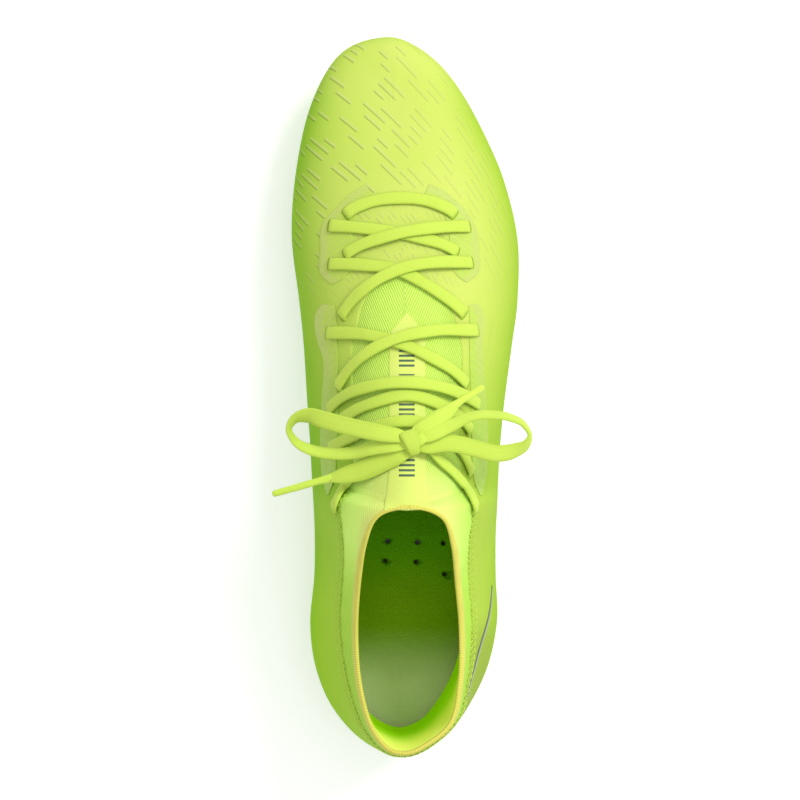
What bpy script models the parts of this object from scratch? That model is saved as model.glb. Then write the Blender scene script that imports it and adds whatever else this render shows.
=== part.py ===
"""A firm-ground soccer cleat for the right foot, with a knitted ankle collar and a tied bow.

The toe points along +Y and the outer side of the foot is +X. The origin is on the ground,
under the middle of the shoe. The shoe stands on its studs and bends at the ball of the foot.
"""

import math

import bmesh
import bpy
import numpy as np
from mathutils import Matrix, Vector
from mathutils.bvhtree import BVHTree

MM = 0.001
GAP = 0.3  # clearance between touching pieces; all lengths below are in mm

# The widest line of the shoe, toe to heel: inner edge x, y, then outer edge x, y.
EDGE = (
    (-6.4, 143.0, -6.4, 143.0),
    (-19.0, 140.6, 3.0, 140.2),
    (-28.0, 134.2, 13.5, 132.5),
    (-35.2, 122.2, 22.5, 121.2),
    (-40.6, 106.5, 31.0, 106.0),
    (-44.5, 84.0, 39.7, 86.0),
    (-45.5, 62.0, 45.3, 62.0),
    (-42.6, 38.0, 45.3, 38.0),
    (-40.7, 20.0, 43.0, 20.0),
    (-39.2, -3.0, 39.9, -3.0),
    (-38.0, -20.0, 38.2, -20.0),
    (-37.3, -33.0, 37.4, -33.0),
    (-36.6, -44.0, 36.9, -44.0),
    (-36.1, -57.0, 36.3, -57.0),
    (-36.3, -73.0, 36.3, -73.0),
    (-37.9, -92.0, 36.8, -91.0),
    (-35.6, -109.8, 32.8, -109.8),
    (-28.6, -126.0, 24.3, -126.0),
    (-16.5, -138.6, 12.5, -138.6),
    (-2.0, -143.0, -2.0, -143.0),
)
# The middle line over the toe and the instep, up to the front of the collar.
RIDGE = (
    (-5.0, 112.0, 45.5),
    (-4.8, 110.0, 46.1),
    (-4.6, 106.0, 47.4),
    (-4.2, 100.0, 49.4),
    (-3.6, 91.0, 52.3),
    (-2.6, 76.0, 57.2),
    (-1.4, 57.5, 63.0),
    (-0.4, 36.0, 70.4),
    (0.3, 15.0, 79.0),
    (0.8, -11.0, 91.0),
    (1.3, -28.5, 102.0),
    (1.7, -43.3, 114.0),
)
# The top edge of the collar, from its front to the heel: inner side, then outer side.
RIM = (
    (-10.5, -46.5, 112.0, 14.0, -47.0, 111.5),
    (-15.9, -57.6, 105.0, 18.6, -58.0, 104.0),
    (-18.6, -73.5, 93.5, 20.7, -74.0, 93.0),
    (-19.7, -92.0, 84.5, 22.3, -92.0, 84.5),
    (-18.6, -110.3, 84.0, 22.0, -110.3, 84.0),
    (-14.6, -126.5, 88.0, 18.4, -127.0, 88.0),
    (-8.8, -135.4, 91.8, 6.6, -136.6, 92.0),
    (-2.0, -138.5, 93.0, -2.0, -138.5, 93.0),
)
HEEL = len(EDGE) - 1
COLLAR = len(RIDGE) - 1
# Values that change along the shoe, as pairs of a station and the value there.
FEATHER_Z = ((0, 24.5), (2, 21), (4, 17), (6, 15.2), (8, 15.6), (10, 16.6), (12, 17), (19, 17))
BULGE_Z = ((0, 31), (3, 30), (6, 28), (9, 32), (12, 35), (19, 35))
INSET = ((0, 5.5), (6, 4.5), (8, 6.5), (10, 8), (13, 6), (16, 5), (19, 4.5))
RISE = ((0, 0.72), (4, 0.6), (8, 0.45), (11, 0.33), (13, 0.22), (19, 0.22))
REACH = ((0, 0.5), (6, 0.5), (9, 0.4), (12, 0.36), (19, 0.3))
PITCH = ((0, 0), (9, 0), (10.6, 0), (11, 0), (12, 46), (13, 68), (15, 74), (19, 80))
# The skin's upper edge: round the laced opening in front, and the collar's seam behind.
SEAM = ((6.45, 1), (7, 0.67), (7.5, 0.6), (8, 0.6), (9, 0.67), (10, 0.66), (11, 0.64),
        (12, 0.74), (13, 0.77), (15, 0.77), (16, 0.8), (17, 0.82), (19, 0.84))
APEX = SEAM[0][0]
BULGE = 0.22  # the level of the widest line between the feather line (0) and the top (1)

# Thicknesses and depths below the outer face.
SKIN = 1.6
KNIT_DEPTH = 0.6
KNIT = 1.5
COUNTER_DEPTH = SKIN + 2 * GAP
COUNTER = 1.2
PUFF = 1.0
LINING_DEPTH = COUNTER_DEPTH + COUNTER + GAP
LINING = 1.6
OVERLAY = 0.6
OVERLAY_GAP = 0.7
STRIP = 0.5
PLATE = 3.0
PLATE_LIP = 1.5  # how far the plate's rim shows past the feather line
BOARD = 2.0
BOARD_INSET = 4.4
SOCKLINER = 4.0
SOCKLINER_INSET = 2.2
LACE_WIDTH = 6.0
LACE = 1.4
LACE_LIFT = OVERLAY + OVERLAY_GAP + GAP + LACE / 2  # middle of a lace above the outer face
BOW_CORD = 3.2
AGLET_RADIUS = 1.3

# The shoe bends about this line, across the ball at the sockliner's upper face.
FLEX_INNER = (-42.0, 64.0)
FLEX_OUTER = (43.0, 52.0)
FLEX_Z = 21.6
FLEX_HALF_ANGLE = math.radians(18.5)
FLEX_FLOOR = 25.0  # the bending zone of the upper starts above this height
FLEX_GAP = 0.6  # clearance between the halves at that line

# Stud centres x, y, from the toe back.
FOREFOOT_STUDS = {
    "medial_1": (-24.0, 101.0),
    "lateral_1": (18.0, 101.0),
    "centre": (-2.0, 86.0),
    "medial_2": (-32.0, 74.0),
    "lateral_2": (31.0, 74.0),
}
REAR_STUDS = {
    "medial_3": (-30.0, 42.0),
    "lateral_3": (33.0, 40.0),
    "heel_medial_1": (-22.0, -87.0),
    "heel_lateral_1": (20.0, -87.0),
    "heel_medial_2": (-18.0, -119.0),
    "heel_lateral_2": (14.0, -119.0),
}
STUD_BASE_RADIUS = 7.2
STUD_JOIN_RADIUS = 6.0
STUD_TIP_RADIUS = 4.2
STUD_TIP = 8.5
SHANK = (-11.0, 7.0, -66.0, 22.0)  # x from, x to, y from, y to
VENTS = ((-7.0, -59.5), (5.0, -60.0), (15.5, -60.5), (-8.0, -67.5), (4.5, -68.0), (16.0, -73.0))
VENT_RADIUS = 1.1

# Lace runs in plan, from eyelet to eyelet. The last value lifts a run over the one it crosses.
OVER = LACE + 2 * GAP
LACES = {
    "lace_bar_1": ((-23.5, 71, 0), (-15.5, 74, 0), (-2, 76, 0), (12, 74, 0), (20, 71, 0)),
    "lace_2_under": ((-29, 66, 0), (-14, 64.2, 0), (4, 61, 0), (20.5, 56.5, 0)),
    "lace_2_over": ((25, 65.6, 0), (9.7, 63.7, OVER), (-8, 60, OVER), (-23.5, 56, 0)),
    "lace_3_under": ((-29, 50.4, 0), (-15.5, 49.2, 0), (-2, 47.5, 0), (9.5, 41, 0), (23, 31, 0)),
    "lace_3_over": (
        (26, 51, 0), (11.5, 50.3, OVER), (-2, 47.5, OVER), (-14.5, 40.5, OVER), (-24.5, 29.7, 0),
    ),
    "lace_4_under": ((-30, 23.6, 0), (-17.5, 23, 0), (-4, 19.7, 0), (9.5, 13.8, 0), (24, 4.6, 0)),
    "lace_4_over": (
        (28, 24.6, 0), (9.6, 23.2, OVER), (-4, 19.7, OVER), (-15.5, 13.2, OVER), (-26, 2, 0),
    ),
    "lace_5_under": ((-24.5, -10.5, 0), (-11.5, -4, 0), (1, -1, 0), (13.5, -5, 0), (25, -14.5, 0.4)),
    "lace_5_over": (
        (-29.5, -6, 0), (-21, -0.5, 0.6), (-11, 2, OVER), (-1, 3, OVER), (13.5, 1.5, OVER),
        (21, -1, 0.6), (28.5, -4.6, 0),
    ),
    "lace_6": ((-29, -21.5, 0.4), (-20.5, -17.5, 0), (-10, -13.5, 0), (2, -12, 0), (14, -16, 0),
               (21, -23, 0), (25, -31, 0)),
    "lace_end_medial": ((-26.5, -43, 0), (-22, -36, 0), (-15, -28.5, 0), (-7, -23.5, 0)),
    "lace_end_lateral": ((26.5, -43, 0), (20, -35.5, 0), (13.5, -28, 0), (9, -23.5, 0)),
}
# The bow, as x, y, z.
KNOT = (2.8, -19.0, 102.8)
KNOT_SIZE = (8.6, 7.4, 6.4)
BOW = {
    "bow_loop_medial": (
        (-2, -16.4, 103.4), (-8, -15.4, 103.2), (-22.5, -11.3, 99.5), (-32, -7.4, 96),
        (-38.5, -5.6, 93.5), (-43.4, -8, 92), (-45.2, -12.5, 91), (-42.8, -17.6, 90.5),
        (-36.2, -21.6, 91), (-28.3, -23, 93), (-20, -22.8, 96), (-12, -21, 100.2),
        (-2.6, -19.8, 103),
    ),
    "bow_loop_lateral": (
        (8, -20.2, 102.2), (16, -19, 101), (26.2, -20.9, 97), (34.9, -23, 93), (41.8, -22, 90),
        (46.4, -19.6, 88.5), (47.8, -16.6, 88), (45.4, -12, 88.5), (39.8, -8.7, 91),
        (32.9, -7.6, 94), (25, -8.2, 97.5), (17, -12.4, 101.2), (8, -16.6, 104),
    ),
    "bow_tail_medial": (
        (-1.4, -23.2, 102), (-7.7, -26, 100.2), (-17.2, -30, 96.6), (-28.2, -32.3, 92),
    ),
    "bow_tail_lateral": (
        (6, -13.8, 103.4), (10.6, -11, 102), (16.4, -7.2, 97), (18.8, -4.5, 94),
    ),
}
AGLETS = {
    "aglet_medial": ((-28.6, -32.45, 91.9), (-50.8, -38.7, 85.5)),
    "aglet_lateral": ((19.1, -4.3, 93.9), (29.8, 2.4, 85.0)),
}
BAND_HALF_HEIGHT = 2.6
BAND_HALF_WIDTH = 1.6
BAND_DEPTH = 1.35
TRIM_ROOM = 0.3  # clearance more than GAP where the collar is trimmed for the band
TRIM_ABOVE = 1.2  # how far that trim reaches over the band
# Pieces that cover part of the upper: the stations and levels between which they lie.
PUFF_LAST = 3.6
PUFF_LEVELS = (0.2, 0.72)
COUNTER_FIRST = 15.2
COUNTER_LEVELS = (0.15, 0.6)
LINING_FIRST = 12.5
LINING_LEVELS = (0.15, 0.94)
SEAM_ROOM = 0.012  # levels between the skin's edge and its neighbours
THROAT_STATIONS = (APEX + 0.15, 10.35)
COLLAR_FIRST = 10.42
EYESTAY_FRONT = (5.1, APEX, 0.48, 0.74)
EYESTAY_REAR = (7.1, 10.4)
EYESTAY_REAR_HEIGHT = 0.17
# The strip down the throat: its middle x, half width, and the places y of its rows.
STRIP_MIDDLE = 0.8
STRIP_HALF_WIDTH = 6.8
STRIP_ROWS = (31, 27, 22, 14, 5, -4, -13, -22, -30, -36)

# Stations where the upper's columns stand: closer together round the toe, collar and heel.
COLUMNS = np.array(
    [0, 0.5, 1, 1.5, 2, 2.6, 3.3, 4, 5, 6, APEX, 6.7, 7, 7.4, 8, 9, 10, 10.4, 11, 11.5, 12, 12.5]
    + [13, 13.5, 14, 14.5, 15, 15.5, 16, 16.6, 17.2, 17.8, 18.4, 19]
)


def smooth(knots, where):
    """A smooth curve through the knots, which are pairs of a place and a value or vector."""
    x = np.array([k[0] for k in knots], float)
    y = np.array([np.atleast_1d(k[1]) for k in knots], float)
    where = np.clip(np.asarray(where, float), x[0], x[-1])
    slope = np.gradient(y, x, axis=0)
    i = np.clip(np.searchsorted(x, where, side="right") - 1, 0, len(x) - 2)
    step = (x[i + 1] - x[i])[..., None]
    f = ((where - x[i]) / (x[i + 1] - x[i]))[..., None]
    value = (
        (2 * f**3 - 3 * f**2 + 1) * y[i]
        + (f**3 - 2 * f**2 + f) * step * slope[i]
        + (3 * f**2 - 2 * f**3) * y[i + 1]
        + (f**3 - f**2) * step * slope[i + 1]
    )
    return value[..., 0] if y.shape[1] == 1 else value


def around(points, index):
    """The Catmull-Rom curve round a closed row of points, at places counted in points."""
    points = np.asarray(points, float)
    i = np.floor(index).astype(int)
    f = (index - i)[..., None]
    a, b, c, d = (points[(i + k) % len(points)] for k in (-1, 0, 1, 2))
    return b + 0.5 * f * (c - a + f * (2 * a - 5 * b + 4 * c - d + f * (3 * (b - c) + d - a)))


EDGE_LOOP = [row[2:] for row in EDGE] + [row[:2] for row in EDGE[HEEL - 1 : 0 : -1]]
RIM_LOOP = [RIDGE[COLLAR]] + [row[3:] for row in RIM] + [row[:3] for row in RIM[-2::-1]]


def wrap(station):
    return (np.asarray(station, float) + HEEL) % (2 * HEEL) - HEEL


def edge(station):
    return around(EDGE_LOOP, np.asarray(station, float) % len(EDGE_LOOP))


def top(station):
    """The upper end of a column: on the ridge in front, on the collar's rim behind."""
    station = wrap(station)
    ridge = smooth(list(enumerate(RIDGE)), np.abs(station))
    behind = np.where(station >= 0, station - COLLAR, len(RIM_LOOP) + station + COLLAR)
    rim = around(RIM_LOOP, behind % len(RIM_LOOP))
    return np.where((np.abs(station) <= COLLAR)[..., None], ridge, rim)


def upright(flat, z):
    return np.concatenate([flat, np.broadcast_to(z, flat.shape[:-1])[..., None]], axis=-1)


def ridge_run(place):
    """The ridge's direction at a station, of unit length in plan."""
    nearby = np.clip(place, 0.02, COLLAR - 0.02)
    run = top(nearby + 0.01) - top(nearby - 0.01)
    return run / np.linalg.norm(run[..., :2], axis=-1, keepdims=True)


def unit(vectors):
    return vectors / np.linalg.norm(vectors, axis=-1, keepdims=True)


def surface(station, level):
    """Points of the upper's outer face. A station is 0 at the toe and 19 at the heel, and
    negative on the inner side. A level is 0 at the feather line and 1 at the top."""
    station, level = np.broadcast_arrays(np.asarray(station, float), np.asarray(level, float))
    place = np.abs(wrap(station))
    flat = edge(station)
    along = edge(station + 0.01) - edge(station - 0.01)
    along = unit(along)
    inward = np.stack([along[..., 1], -along[..., 0]], axis=-1)
    feather_z = smooth(FEATHER_Z, place)
    bulge_z = smooth(BULGE_Z, place)
    feather = upright(flat + inward * smooth(INSET, place)[..., None], feather_z)
    bend = upright(flat, feather_z + 0.3 * (bulge_z - feather_z))
    wide = upright(flat, bulge_z)
    crown = top(station)
    across = crown[..., :2] - flat
    width = np.linalg.norm(across, axis=-1)
    across = across / width[..., None]
    height = crown[..., 2] - bulge_z
    run = ridge_run(place)
    climb = (across * run[..., :2]).sum(-1) * run[..., 2]
    climb = np.where(place <= COLLAR, climb, 0)
    pitch = np.radians(smooth(PITCH, place))
    end = upright(across * np.cos(pitch)[..., None], climb * np.cos(pitch) + np.sin(pitch))
    reach = smooth(REACH, place) * (width * np.cos(pitch) + height * np.sin(pitch))
    first = wide + np.stack([0 * width, 0 * width, smooth(RISE, place) * height], axis=-1)
    second = crown - end * reach[..., None]
    f = np.clip(level / BULGE, 0, 1)[..., None]
    low = (1 - f) ** 2 * feather + 2 * f * (1 - f) * bend + f**2 * wide
    f = np.clip((level - BULGE) / (1 - BULGE), 0, 1)[..., None]
    high = (1 - f) ** 3 * wide + 3 * f * (1 - f) ** 2 * first
    high = high + 3 * f**2 * (1 - f) * second + f**3 * crown
    return np.where((level < BULGE)[..., None], low, high)


def outward(station, level):
    """Unit normals of the upper's outer face."""
    station, level = np.broadcast_arrays(np.asarray(station, float), np.asarray(level, float))
    rise = surface(station, np.minimum(level + 0.004, 1)) - surface(station, level - 0.004)
    run = surface(station + 0.01, level) - surface(station - 0.01, level)
    normal = np.cross(rise, run)
    run = ridge_run(np.abs(wrap(station)))
    ridge = upright(-run[..., :2] * run[..., 2:], 1.0)
    on_ridge = (level > 0.995) & (np.abs(wrap(station)) < COLLAR + 0.001)
    return unit(np.where(on_ridge[..., None], ridge, normal))


def seam(station):
    place = np.abs(wrap(station))
    return np.where(place <= APEX, 1.0, np.minimum(smooth(SEAM, place), 1.0))


def above_seam(station):
    return np.minimum(seam(station) + SEAM_ROOM, 1)


def below_seam(station):
    return seam(station) - SEAM_ROOM


def under_rear_eyestay(station):
    return seam(station) - EYESTAY_REAR_HEIGHT


def layer(station, level, depth):
    """Points below the outer face by a depth, or above it where the depth is negative."""
    depth = np.broadcast_to(np.asarray(depth, float), np.broadcast(station, level).shape)
    return surface(station, level) - outward(station, level) * depth[..., None]


CLEAT = bpy.data.collections.new("soccer_cleat")
CUTTERS = bpy.data.collections.new("cutters")

def material(name, colour, roughness=0.6):
    made = bpy.data.materials.new(name)
    made.diffuse_color = (*colour, 1)
    made.use_nodes = True
    shader = made.node_tree.nodes["Principled BSDF"]
    shader.inputs["Base Color"].default_value = (*colour, 1)
    shader.inputs["Roughness"].default_value = roughness
    return made


NEON = (0.62, 0.90, 0.14)
COLOURS = {
    "skin": material("skin", NEON, 0.5),
    "knit": material("knit", (0.50, 0.85, 0.10), 0.85),
    "strip": material("strip", (0.75, 0.93, 0.16), 0.5),
    "band": material("band", (0.72, 0.78, 0.16), 0.7),
    "overlay": material("overlay", (0.58, 0.74, 0.28), 0.4),
    "lace": material("lace", (0.60, 0.90, 0.12), 0.8),
    "lining": material("lining", (0.42, 0.80, 0.02), 0.9),
    "sockliner": material("sockliner", (0.52, 0.60, 0.42), 0.9),
    "board": material("board", (0.80, 0.78, 0.70), 0.9),
    "stiffener": material("stiffener", (0.86, 0.86, 0.82), 0.7),
    "plate": material("plate", (0.45, 0.80, 0.08), 0.35),
    "stud": material("stud", (0.05, 0.16, 0.15), 0.3),
    "shank": material("shank", (0.08, 0.08, 0.09), 0.4),
}


def new_object(name, mesh, look):
    made = bpy.data.objects.new(name, mesh)
    mesh.materials.clear()
    mesh.materials.append(COLOURS[look])
    CLEAT.objects.link(made)
    return made


def sheet(grids):
    """One open bmesh in metres from grids of points in mm, joined where they meet."""
    made = bmesh.new()
    for grid in grids:
        rows = [[made.verts.new(Vector(p) * MM) for p in row] for row in grid]
        for here, after in zip(rows, rows[1:]):
            for i in range(len(here) - 1):
                made.faces.new((here[i], here[i + 1], after[i + 1], after[i]))
    bmesh.ops.remove_doubles(made, verts=made.verts[:], dist=0.02 * MM)
    flat = [face for face in made.faces if face.calc_area() < 1e-9]
    bmesh.ops.delete(made, geom=flat, context="FACES_ONLY")
    return made


def cut(made, point, normal):
    """Keeps the part of a bmesh on the side that the normal points away from."""
    bmesh.ops.bisect_plane(
        made,
        geom=made.verts[:] + made.edges[:] + made.faces[:],
        plane_co=Vector(point) * MM,
        plane_no=Vector(normal),
        dist=1e-6,
        clear_outer=True,
    )


def shell(name, made, thickness, look):
    """Closes an open bmesh into a shell that grows inward from its outer face."""
    mesh = bpy.data.meshes.new(name)
    made.to_mesh(mesh)
    made.free()
    mesh.shade_smooth()
    solid = new_object(name, mesh, look)
    thicken = solid.modifiers.new("thickness", "SOLIDIFY")
    thicken.thickness = thickness * MM
    thicken.offset = -1
    return solid


def band(side, first, last, low, high, depth, rows=6):
    """A grid on one side of the upper, between two stations and two levels or level rules."""
    inside = COLUMNS[(COLUMNS > first + 0.05) & (COLUMNS < last - 0.05)]
    stations = (side * np.concatenate([[first], inside, [last]]))[::side]
    bottom = low(stations) if callable(low) else np.full(len(stations), low)
    upper = high(stations) if callable(high) else np.full(len(stations), high)
    part = np.linspace(0, 1, rows + 1)
    levels = bottom[:, None] * (1 - part) + upper[:, None] * part
    return layer(stations[:, None], levels, depth)


def both(*limits):
    """The same band on the outer and the inner side."""
    return [band(1, *limits), band(-1, *limits)]


AXIS = np.subtract(FLEX_OUTER, FLEX_INNER)
AXIS = AXIS / np.linalg.norm(AXIS)
FORWARD = np.array([-AXIS[1], AXIS[0], 0.0])
HINGE = np.array([*np.add(FLEX_INNER, FLEX_OUTER) / 2, FLEX_Z])


def flex_plane(tilt, shift):
    """A plane through the flex axis, leaning forward by the tilt and moved by the shift."""
    normal = FORWARD * math.cos(tilt) - np.array([0, 0, math.sin(tilt)])
    return HINGE + FORWARD * shift, normal


def keep_front(made, tilt=0.0):
    for lean in {0.0, tilt}:
        point, normal = flex_plane(lean, FLEX_GAP / 2)
        cut(made, point, -normal)
    return made


def keep_rear(made, tilt=0.0):
    for lean in {0.0, -tilt}:
        point, normal = flex_plane(lean, -FLEX_GAP / 2)
        cut(made, point, normal)
    return made


def keep_between(made):
    cut(made, *flex_plane(FLEX_HALF_ANGLE, -GAP / 2))
    point, normal = flex_plane(-FLEX_HALF_ANGLE, GAP / 2)
    cut(made, point, -normal)
    cut(made, (0, 0, FLEX_FLOOR), (0, 0, -1))
    return made


def upper():
    """The moulded skin in three pieces, with its stiffeners, linings and knitted parts."""
    whole = (0, HEEL, 0.0, seam, 0.0, 7)
    front = keep_front(sheet(both(*whole)), FLEX_HALF_ANGLE)
    shell("upper_toe", front, SKIN, "skin")
    shell("upper_flex_zone", keep_between(sheet(both(*whole))), SKIN, "skin")
    shell("upper_rear", keep_rear(sheet(both(*whole)), FLEX_HALF_ANGLE), SKIN, "skin")
    puff = sheet(both(0, PUFF_LAST, *PUFF_LEVELS, COUNTER_DEPTH, 4))
    shell("toe_puff", puff, PUFF, "stiffener")
    counter = sheet(both(COUNTER_FIRST, HEEL, *COUNTER_LEVELS, COUNTER_DEPTH, 4))
    shell("heel_counter", counter, COUNTER, "stiffener")
    lining = sheet(both(LINING_FIRST, HEEL, *LINING_LEVELS, LINING_DEPTH, 5))
    shell("heel_lining", lining, LINING, "lining")
    throat = sheet(both(*THROAT_STATIONS, above_seam, 1.0, KNIT_DEPTH, 4))
    shell("throat_knit", throat, KNIT, "knit")
    collar = sheet(both(COLLAR_FIRST, HEEL, above_seam, 1.0, KNIT_DEPTH, 4))
    return shell("ankle_collar", collar, KNIT, "knit")


def mesh_of(made, name):
    mesh = bpy.data.meshes.new(name)
    made.to_mesh(mesh)
    made.free()
    mesh.shade_smooth()
    return mesh


def swept(centres, sides, ups, half_width, half_height, corners, closed=False):
    """A bmesh of an oval section carried along centres, in metres from points in mm."""
    made = bmesh.new()
    turns = [2 * math.pi * (k + 0.5) / corners for k in range(corners)]
    rings = [
        [
            made.verts.new(
                Vector(c + s * half_width * math.cos(t) + u * half_height * math.sin(t)) * MM
            )
            for t in turns
        ]
        for c, s, u in zip(centres, sides, ups)
    ]
    pairs = list(zip(rings, rings[1:])) + ([(rings[-1], rings[0])] if closed else [])
    for here, after in pairs:
        for k in range(corners):
            n = (k + 1) % corners
            made.faces.new((here[k], here[n], after[n], after[k]))
    if not closed:
        made.faces.new(rings[0][::-1])
        made.faces.new(rings[-1])
    bmesh.ops.recalc_face_normals(made, faces=made.faces[:])
    return made


def binding():
    """The ribbed band round the collar's edge. Returns a thicker copy that trims the collar."""
    station = np.concatenate([np.arange(COLLAR, HEEL, 0.5), np.arange(-HEEL, -COLLAR, 0.5)])
    rim = top(station)
    along = unit(np.roll(rim, -1, axis=0) - np.roll(rim, 1, axis=0))
    out = outward(station, np.full(len(station), 1.0))
    out = unit(out - along * (out * along).sum(-1, keepdims=True))
    rise = np.cross(along, out)
    rise *= np.sign(rise[:, 2:])
    centre = rim - out * BAND_DEPTH - rise * BAND_HALF_HEIGHT
    band_mesh = swept(centre, out, rise, BAND_HALF_WIDTH, BAND_HALF_HEIGHT, 8, closed=True)
    new_object("collar_binding", mesh_of(band_mesh, "collar_binding"), "band")
    diagonal = math.sqrt(2)
    wide = diagonal * (BAND_HALF_WIDTH + GAP + TRIM_ROOM)
    high = diagonal * (BAND_HALF_HEIGHT + GAP + TRIM_ABOVE / 2)
    centre = centre + rise * TRIM_ABOVE / 2
    trim = mesh_of(swept(centre, out, rise, wide, high, 4, closed=True), "collar_trim")
    cutter = bpy.data.objects.new("collar_trim", trim)
    return hide(cutter)


def hide(cutter):
    CUTTERS.objects.link(cutter)
    cutter.hide_render = True
    cutter.display_type = "WIRE"
    return cutter


def boolean(solid, cutter, operation="DIFFERENCE"):
    change = solid.modifiers.new(cutter.name, "BOOLEAN")
    change.operation = operation
    change.object = cutter


def station_at(y):
    """The station whose columns stand at a place along the shoe."""
    return np.interp(y, [row[1] for row in EDGE][::-1], np.arange(len(EDGE))[::-1])


def sole(inset, height, strips=5):
    """A grid between the two feather lines, moved inward by the inset and up by the height."""
    stations = COLUMNS
    ends = []
    for side in (1, -1):
        flat = surface(side * stations, 0)
        run = surface(side * stations + 0.01, 0) - surface(side * stations - 0.01, 0)
        run = unit(run[:, :2])
        inward = np.stack([run[:, 1], -run[:, 0]], axis=-1)
        flat = flat[:, :2] + inward * inset
        ends.append(upright(flat, smooth(FEATHER_Z, station_at(flat[:, 1])) + height))
    part = np.linspace(0, 1, strips + 1)[None, :, None]
    return ends[0][:, None] * (1 - part) + ends[1][:, None] * part


def cylinders(name, places, radius, low, high, sides=12, narrow=None):
    """One bmesh of upright cylinders or cones. A low or high may be one value for each."""
    made = bmesh.new()
    for (x, y), bottom, upper_end in zip(places, low, high):
        middle = Matrix.Translation(Vector((x, y, (bottom + upper_end) / 2)) * MM)
        bmesh.ops.create_cone(
            made,
            cap_ends=True,
            segments=sides,
            radius1=(narrow or radius) * MM,
            radius2=radius * MM,
            depth=(upper_end - bottom) * MM,
            matrix=middle,
        )
    return mesh_of(made, name)


def plate_with_studs(name, made, studs):
    """One half of the plate with the moulded bases of its studs, and the studs' own tips."""
    plate = shell(name, made, PLATE, "plate")
    centres = list(studs.values())
    tops = [smooth(FEATHER_Z, station_at(y)) - GAP - 1.6 for x, y in centres]
    lows = [STUD_TIP + GAP] * len(centres)
    bases = cylinders(name + "_bases", centres, STUD_BASE_RADIUS, lows, tops, 12, STUD_JOIN_RADIUS)
    boolean(plate, hide(bpy.data.objects.new(name + "_bases", bases)), "UNION")
    for label, centre in studs.items():
        tip = cylinders("stud_" + label, [centre], STUD_JOIN_RADIUS, [0], [STUD_TIP], 12,
                        STUD_TIP_RADIUS)
        new_object("stud_" + label, tip, "stud")


def underfoot():
    """The plate and its studs, the lasting board with its shank, and the sockliner."""
    plate_with_studs("plate_forefoot", keep_front(sheet([sole(-PLATE_LIP, -GAP)])), FOREFOOT_STUDS)
    plate_with_studs("plate_rear", keep_rear(sheet([sole(-PLATE_LIP, -GAP)])), REAR_STUDS)
    board = sole(BOARD_INSET, BOARD)
    shell("lasting_board_forefoot", keep_front(sheet([board])), BOARD, "board")
    rear_board = shell("lasting_board_rear", keep_rear(sheet([board])), BOARD, "board")
    x_from, x_to, y_from, y_to = SHANK
    slot = bmesh.new()
    size = Matrix.Diagonal((x_to - x_from, y_to - y_from, 30, 1))
    middle = Vector(((x_from + x_to) / 2, (y_from + y_to) / 2, 15)) * MM
    bmesh.ops.create_cube(slot, size=MM, matrix=Matrix.Translation(middle) @ size)
    boolean(rear_board, hide(bpy.data.objects.new("shank_slot", mesh_of(slot, "shank_slot"))))
    shank = sheet([board])
    for point, normal in (
        ((x_from + GAP, 0, 0), (-1, 0, 0)),
        ((x_to - GAP, 0, 0), (1, 0, 0)),
        ((0, y_from + GAP, 0), (0, -1, 0)),
        ((0, y_to - GAP, 0), (0, 1, 0)),
    ):
        cut(shank, point, normal)
    shell("midfoot_shank", shank, BOARD, "shank")
    top_face = sole(SOCKLINER_INSET, BOARD + GAP + SOCKLINER)
    shell("sockliner_forefoot", keep_front(sheet([top_face])), SOCKLINER, "sockliner")
    rear = shell("sockliner_rear", keep_rear(sheet([top_face])), SOCKLINER, "sockliner")
    count = len(VENTS)
    vents = cylinders("vents", VENTS, VENT_RADIUS, [10] * count, [40] * count, 8)
    boolean(rear, hide(bpy.data.objects.new("vents", vents)))


def upper_tree():
    """The outer face as a tree for casting rays, in mm."""
    stations = np.linspace(-HEEL, HEEL, 305)
    levels = np.linspace(0.1, 1, 46)
    points = surface(stations[:, None], levels[None, :])
    count = len(levels)
    corners = [
        (i * count + j, i * count + j + 1, (i + 1) * count + j + 1, (i + 1) * count + j)
        for i in range(len(stations) - 1)
        for j in range(count - 1)
    ]
    return BVHTree.FromPolygons([Vector(p) for p in points.reshape(-1, 3)], corners)


TREE = upper_tree()


def on_upper(x, y):
    """The highest point of the outer face at a place in plan, and its normal."""
    place, normal, _, _ = TREE.ray_cast(Vector((x, y, 300)), Vector((0, 0, -1)))
    return np.array(place), np.array(normal if normal.z > 0 else -normal)


def curve_through(points, count):
    """Points at even steps along a smooth curve through a row of points."""
    points = np.array(points, float)
    steps = np.concatenate([[0], np.cumsum(np.linalg.norm(np.diff(points, axis=0), axis=1))])
    fine = smooth(list(zip(steps, points)), np.linspace(0, steps[-1], 400))
    run = np.concatenate([[0], np.cumsum(np.linalg.norm(np.diff(fine, axis=0), axis=1))])
    return np.stack([np.interp(np.linspace(0, run[-1], count), run, c) for c in fine.T], axis=-1)


def laces():
    """Each flat run of the lace over the upper, between two eyelets."""
    for name, points in LACES.items():
        path = curve_through(points, 13)
        ground = [on_upper(x, y) for x, y, lift in path]
        normals = np.array([normal for place, normal in ground])
        lift = LACE_LIFT + path[:, 2:]
        centres = np.array([place for place, normal in ground]) + normals * lift
        along = unit(np.gradient(centres, axis=0))
        across = unit(np.cross(along, normals))
        ups = np.cross(across, along)
        made = swept(centres, across, ups, LACE_WIDTH / 2, LACE / 2 / 0.866, 6)
        new_object(name, mesh_of(made, name), "lace")


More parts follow.
